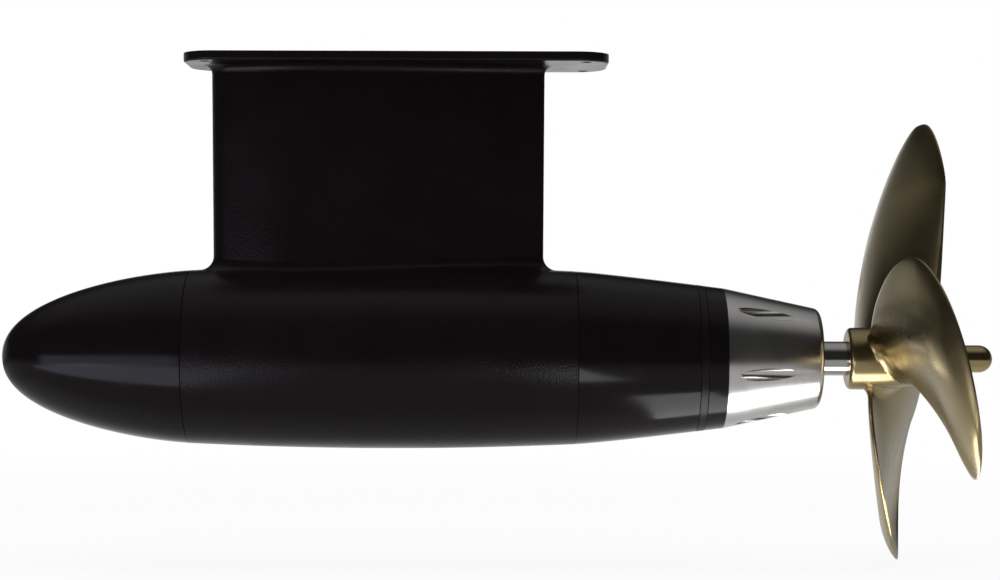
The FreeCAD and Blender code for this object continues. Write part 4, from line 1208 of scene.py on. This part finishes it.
@dataclass
class Studio:
    """Camera, pale floor, white background and soft lamps."""

    camera_place: Place = (0.0735, -2.024, -0.2223)
    lens: float = 82.8
    shift: Range = (0.02, 0.02)
    roll: float = 0.18
    floor_drop: float = 0.004
    floor_size: float = 3.0
    floor_colour: tuple[float, float, float, float] = (0.88, 0.88, 0.88, 1.0)
    room_light: float = 0.45
    dark_gloss: float = 0.035
    bright_gloss: float = 0.5
    side_gloss: float = 0.42
    # Directions, by their Y or Z, at which what gloss shows of the room changes.
    background_edge: Range = (0.95, 0.99)
    ceiling_edge: Range = (0.5, 1.0)
    ceiling_lean: float = 0.3
    side_height: Range = (0.1, 0.3)
    side_depth: Range = (0.2, 0.7)
    # Places on the floor at which it changes, and the shares of white there.
    fade_reach: Range = (0.8, 1.9)
    fade_white: Range = (0.92, 1.0)
    least_gloss_white: float = 0.35
    front_sides: Range = (0.1, 0.45)
    front_floor_gloss: Range = (0.20, 0.36)
    front_depth: Range = (-0.9, -0.3)
    front_depth_gloss: Range = (0.15, 1.0)
    shown_depth: Range = (-0.12, -0.04)
    shown_width: Range = (0.5, 0.75)

    lamps: tuple[Lamp, ...] = (
        Lamp("overhead", (0.1, -0.5, 1.5), (0.1, 0.0, -0.26), (2.4, 1.4), 2.1, in_gloss=False),
        Lamp("nose_low_card", (-0.5825, -0.56, -0.4495), (-0.5825, -0.56, 1.0), (0.735, 0.58), 3.4,
             (0.80, 0.80, 1.0)),
        Lamp("nose_upright_card", (-0.74, -0.72, -0.342), (-0.22, -0.11, -0.342), (0.82, 0.214),
             2.4, (0.80, 0.80, 1.0)),
        Lamp("tail_low_card", (0.295, -0.095, -0.4495), (0.295, -0.095, 1.0), (0.08, 0.15), 7.0),
        Lamp("cone_low_card", (0.415, -0.066, -0.4495), (0.415, -0.066, 1.0), (0.16, 0.105), 6.0),
        Lamp("middle_low_card", (0.245, -0.60, -0.4495), (0.245, -0.60, 1.0), (0.085, 0.50), 7.0),
    )

    def photograph(self) -> None:
        """Set the camera at the photograph's place."""
        data = bpy.data.cameras.new("camera")
        data.lens = self.lens
        data.sensor_width = 36.0
        data.shift_x, data.shift_y = self.shift
        camera = bpy.data.objects.new("camera", data)
        camera.location = self.camera_place
        camera.rotation_euler = (math.pi / 2, -math.radians(self.roll), 0.0)
        bpy.context.scene.collection.objects.link(camera)
        bpy.context.scene.camera = camera

    def surroundings(self) -> None:
        """A white background, which gloss shows where the photograph has it, in a soft room."""
        world = bpy.data.worlds.new("surroundings")
        world.use_nodes = True
        sheet = NodeSheet(world.node_tree)
        world.node_tree.nodes.clear()
        parts = sheet.split(sheet.add("ShaderNodeTexCoord").outputs["Generated"])
        behind = sheet.smooth(parts["Y"], self.background_edge)
        lean = sheet.maths("MULTIPLY", sheet.maths("MINIMUM", parts["Y"], 0.0), self.ceiling_lean)
        ceiling = sheet.smooth(sheet.maths("ADD", parts["Z"], lean), self.ceiling_edge,
                               self.dark_gloss, self.bright_gloss)
        level = sheet.smooth(sheet.maths("ABSOLUTE", parts["Z"]), self.side_height,
                             self.side_gloss, 0.0)
        sides = sheet.maths("MULTIPLY", level, sheet.smooth(parts["Y"], self.side_depth))
        gloss = sheet.choose(behind, 1.0, sheet.maths("MAXIMUM", ceiling, sides))
        seen, glossy = sheet.rays()
        room = sheet.choose(glossy, gloss, self.room_light)
        glow = sheet.add("ShaderNodeBackground", Color=WHITE)
        sheet.join(sheet.choose(seen, 1.0, room), glow.inputs["Strength"])
        ends = sheet.add("ShaderNodeOutputWorld")
        sheet.join(glow.outputs[0], ends.inputs["Surface"])
        bpy.context.scene.world = world

    def floor(self) -> None:
        """A pale floor that fades into the white background and keeps the object's shadow."""
        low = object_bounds()[0]
        mesh = bmesh.new()
        place = Matrix.Translation((0.0, 0.0, low.z - self.floor_drop))
        bmesh.ops.create_circle(mesh, cap_ends=True, segments=SMALL_TURN_STEPS,
                                radius=self.floor_size, matrix=place)
        bmesh.ops.recalc_face_normals(mesh, faces=mesh.faces)
        thing = placed("floor", mesh)
        thing.data.materials.append(self.floor_material())
        thing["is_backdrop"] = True

    def floor_material(self) -> bpy.types.Material:
        """Build the floor's material.

        Returns:
            A material that is white to the camera and takes a shadow, and darker to gloss in
            front of what the photograph shows of the floor.
        """
        material = bpy.data.materials.new("pale_floor")
        material.use_nodes = True
        sheet = NodeSheet(material.node_tree)
        material.node_tree.nodes.clear()
        place = sheet.add("ShaderNodeTexCoord").outputs["Object"]
        parts = sheet.split(place)
        length = sheet.add("ShaderNodeVectorMath", operation="LENGTH")
        sheet.join(place, length.inputs[0])
        reach = length.outputs["Value"]
        across = sheet.smooth(parts["X"], self.front_sides, *self.front_floor_gloss)
        front = sheet.maths("MULTIPLY", across,
                            sheet.smooth(parts["Y"], self.front_depth, *self.front_depth_gloss))
        aside = sheet.maths("ABSOLUTE", sheet.maths("SUBTRACT", parts["X"], self.camera_place[0]))
        shown = sheet.maths("MULTIPLY", sheet.smooth(parts["Y"], self.shown_depth),
                            sheet.smooth(aside, self.shown_width, 1.0, 0.0))
        gloss = sheet.choose(shown, 1.0, front)
        seen, glossy = sheet.rays()
        glow = sheet.add("ShaderNodeEmission")
        sheet.join(sheet.choose(seen, 1.0, gloss), glow.inputs["Strength"])
        white = sheet.maths("MULTIPLY", sheet.smooth(reach, self.fade_reach, *self.fade_white),
                            seen)
        far = sheet.maths("MAXIMUM", sheet.smooth(reach, self.fade_reach), self.least_gloss_white)
        share = sheet.maths("MAXIMUM", white, sheet.maths("MULTIPLY", far, glossy))
        plain = sheet.add("ShaderNodeBsdfDiffuse", Color=self.floor_colour)
        blend = sheet.add("ShaderNodeMixShader")
        sheet.join(share, blend.inputs["Fac"])
        sheet.join(plain.outputs[0], blend.inputs[1])
        sheet.join(glow.outputs[0], blend.inputs[2])
        ends = sheet.add("ShaderNodeOutputMaterial")
        sheet.join(blend.outputs[0], ends.inputs["Surface"])
        return material

    def build(self) -> None:
        """Set up everything that isn't the object."""
        bpy.context.scene.view_settings.view_transform = "Standard"
        self.photograph()
        self.surroundings()
        self.floor()
        for lamp in self.lamps:
            lamp.hang()


def main() -> None:
    """Build the looks, sub-assembly by sub-assembly."""
    logging.basicConfig(level=logging.INFO, format="%(message)s")
    shop = Workshop()
    shop.dress_solids()
    NoseCone().build(shop)
    TailEnd().build(shop)
    EndCone().build(shop)
    Propeller().build(shop)
    ShaftEnd().build(shop)
    Studio().build()


if __name__ == "__main__":
    main()
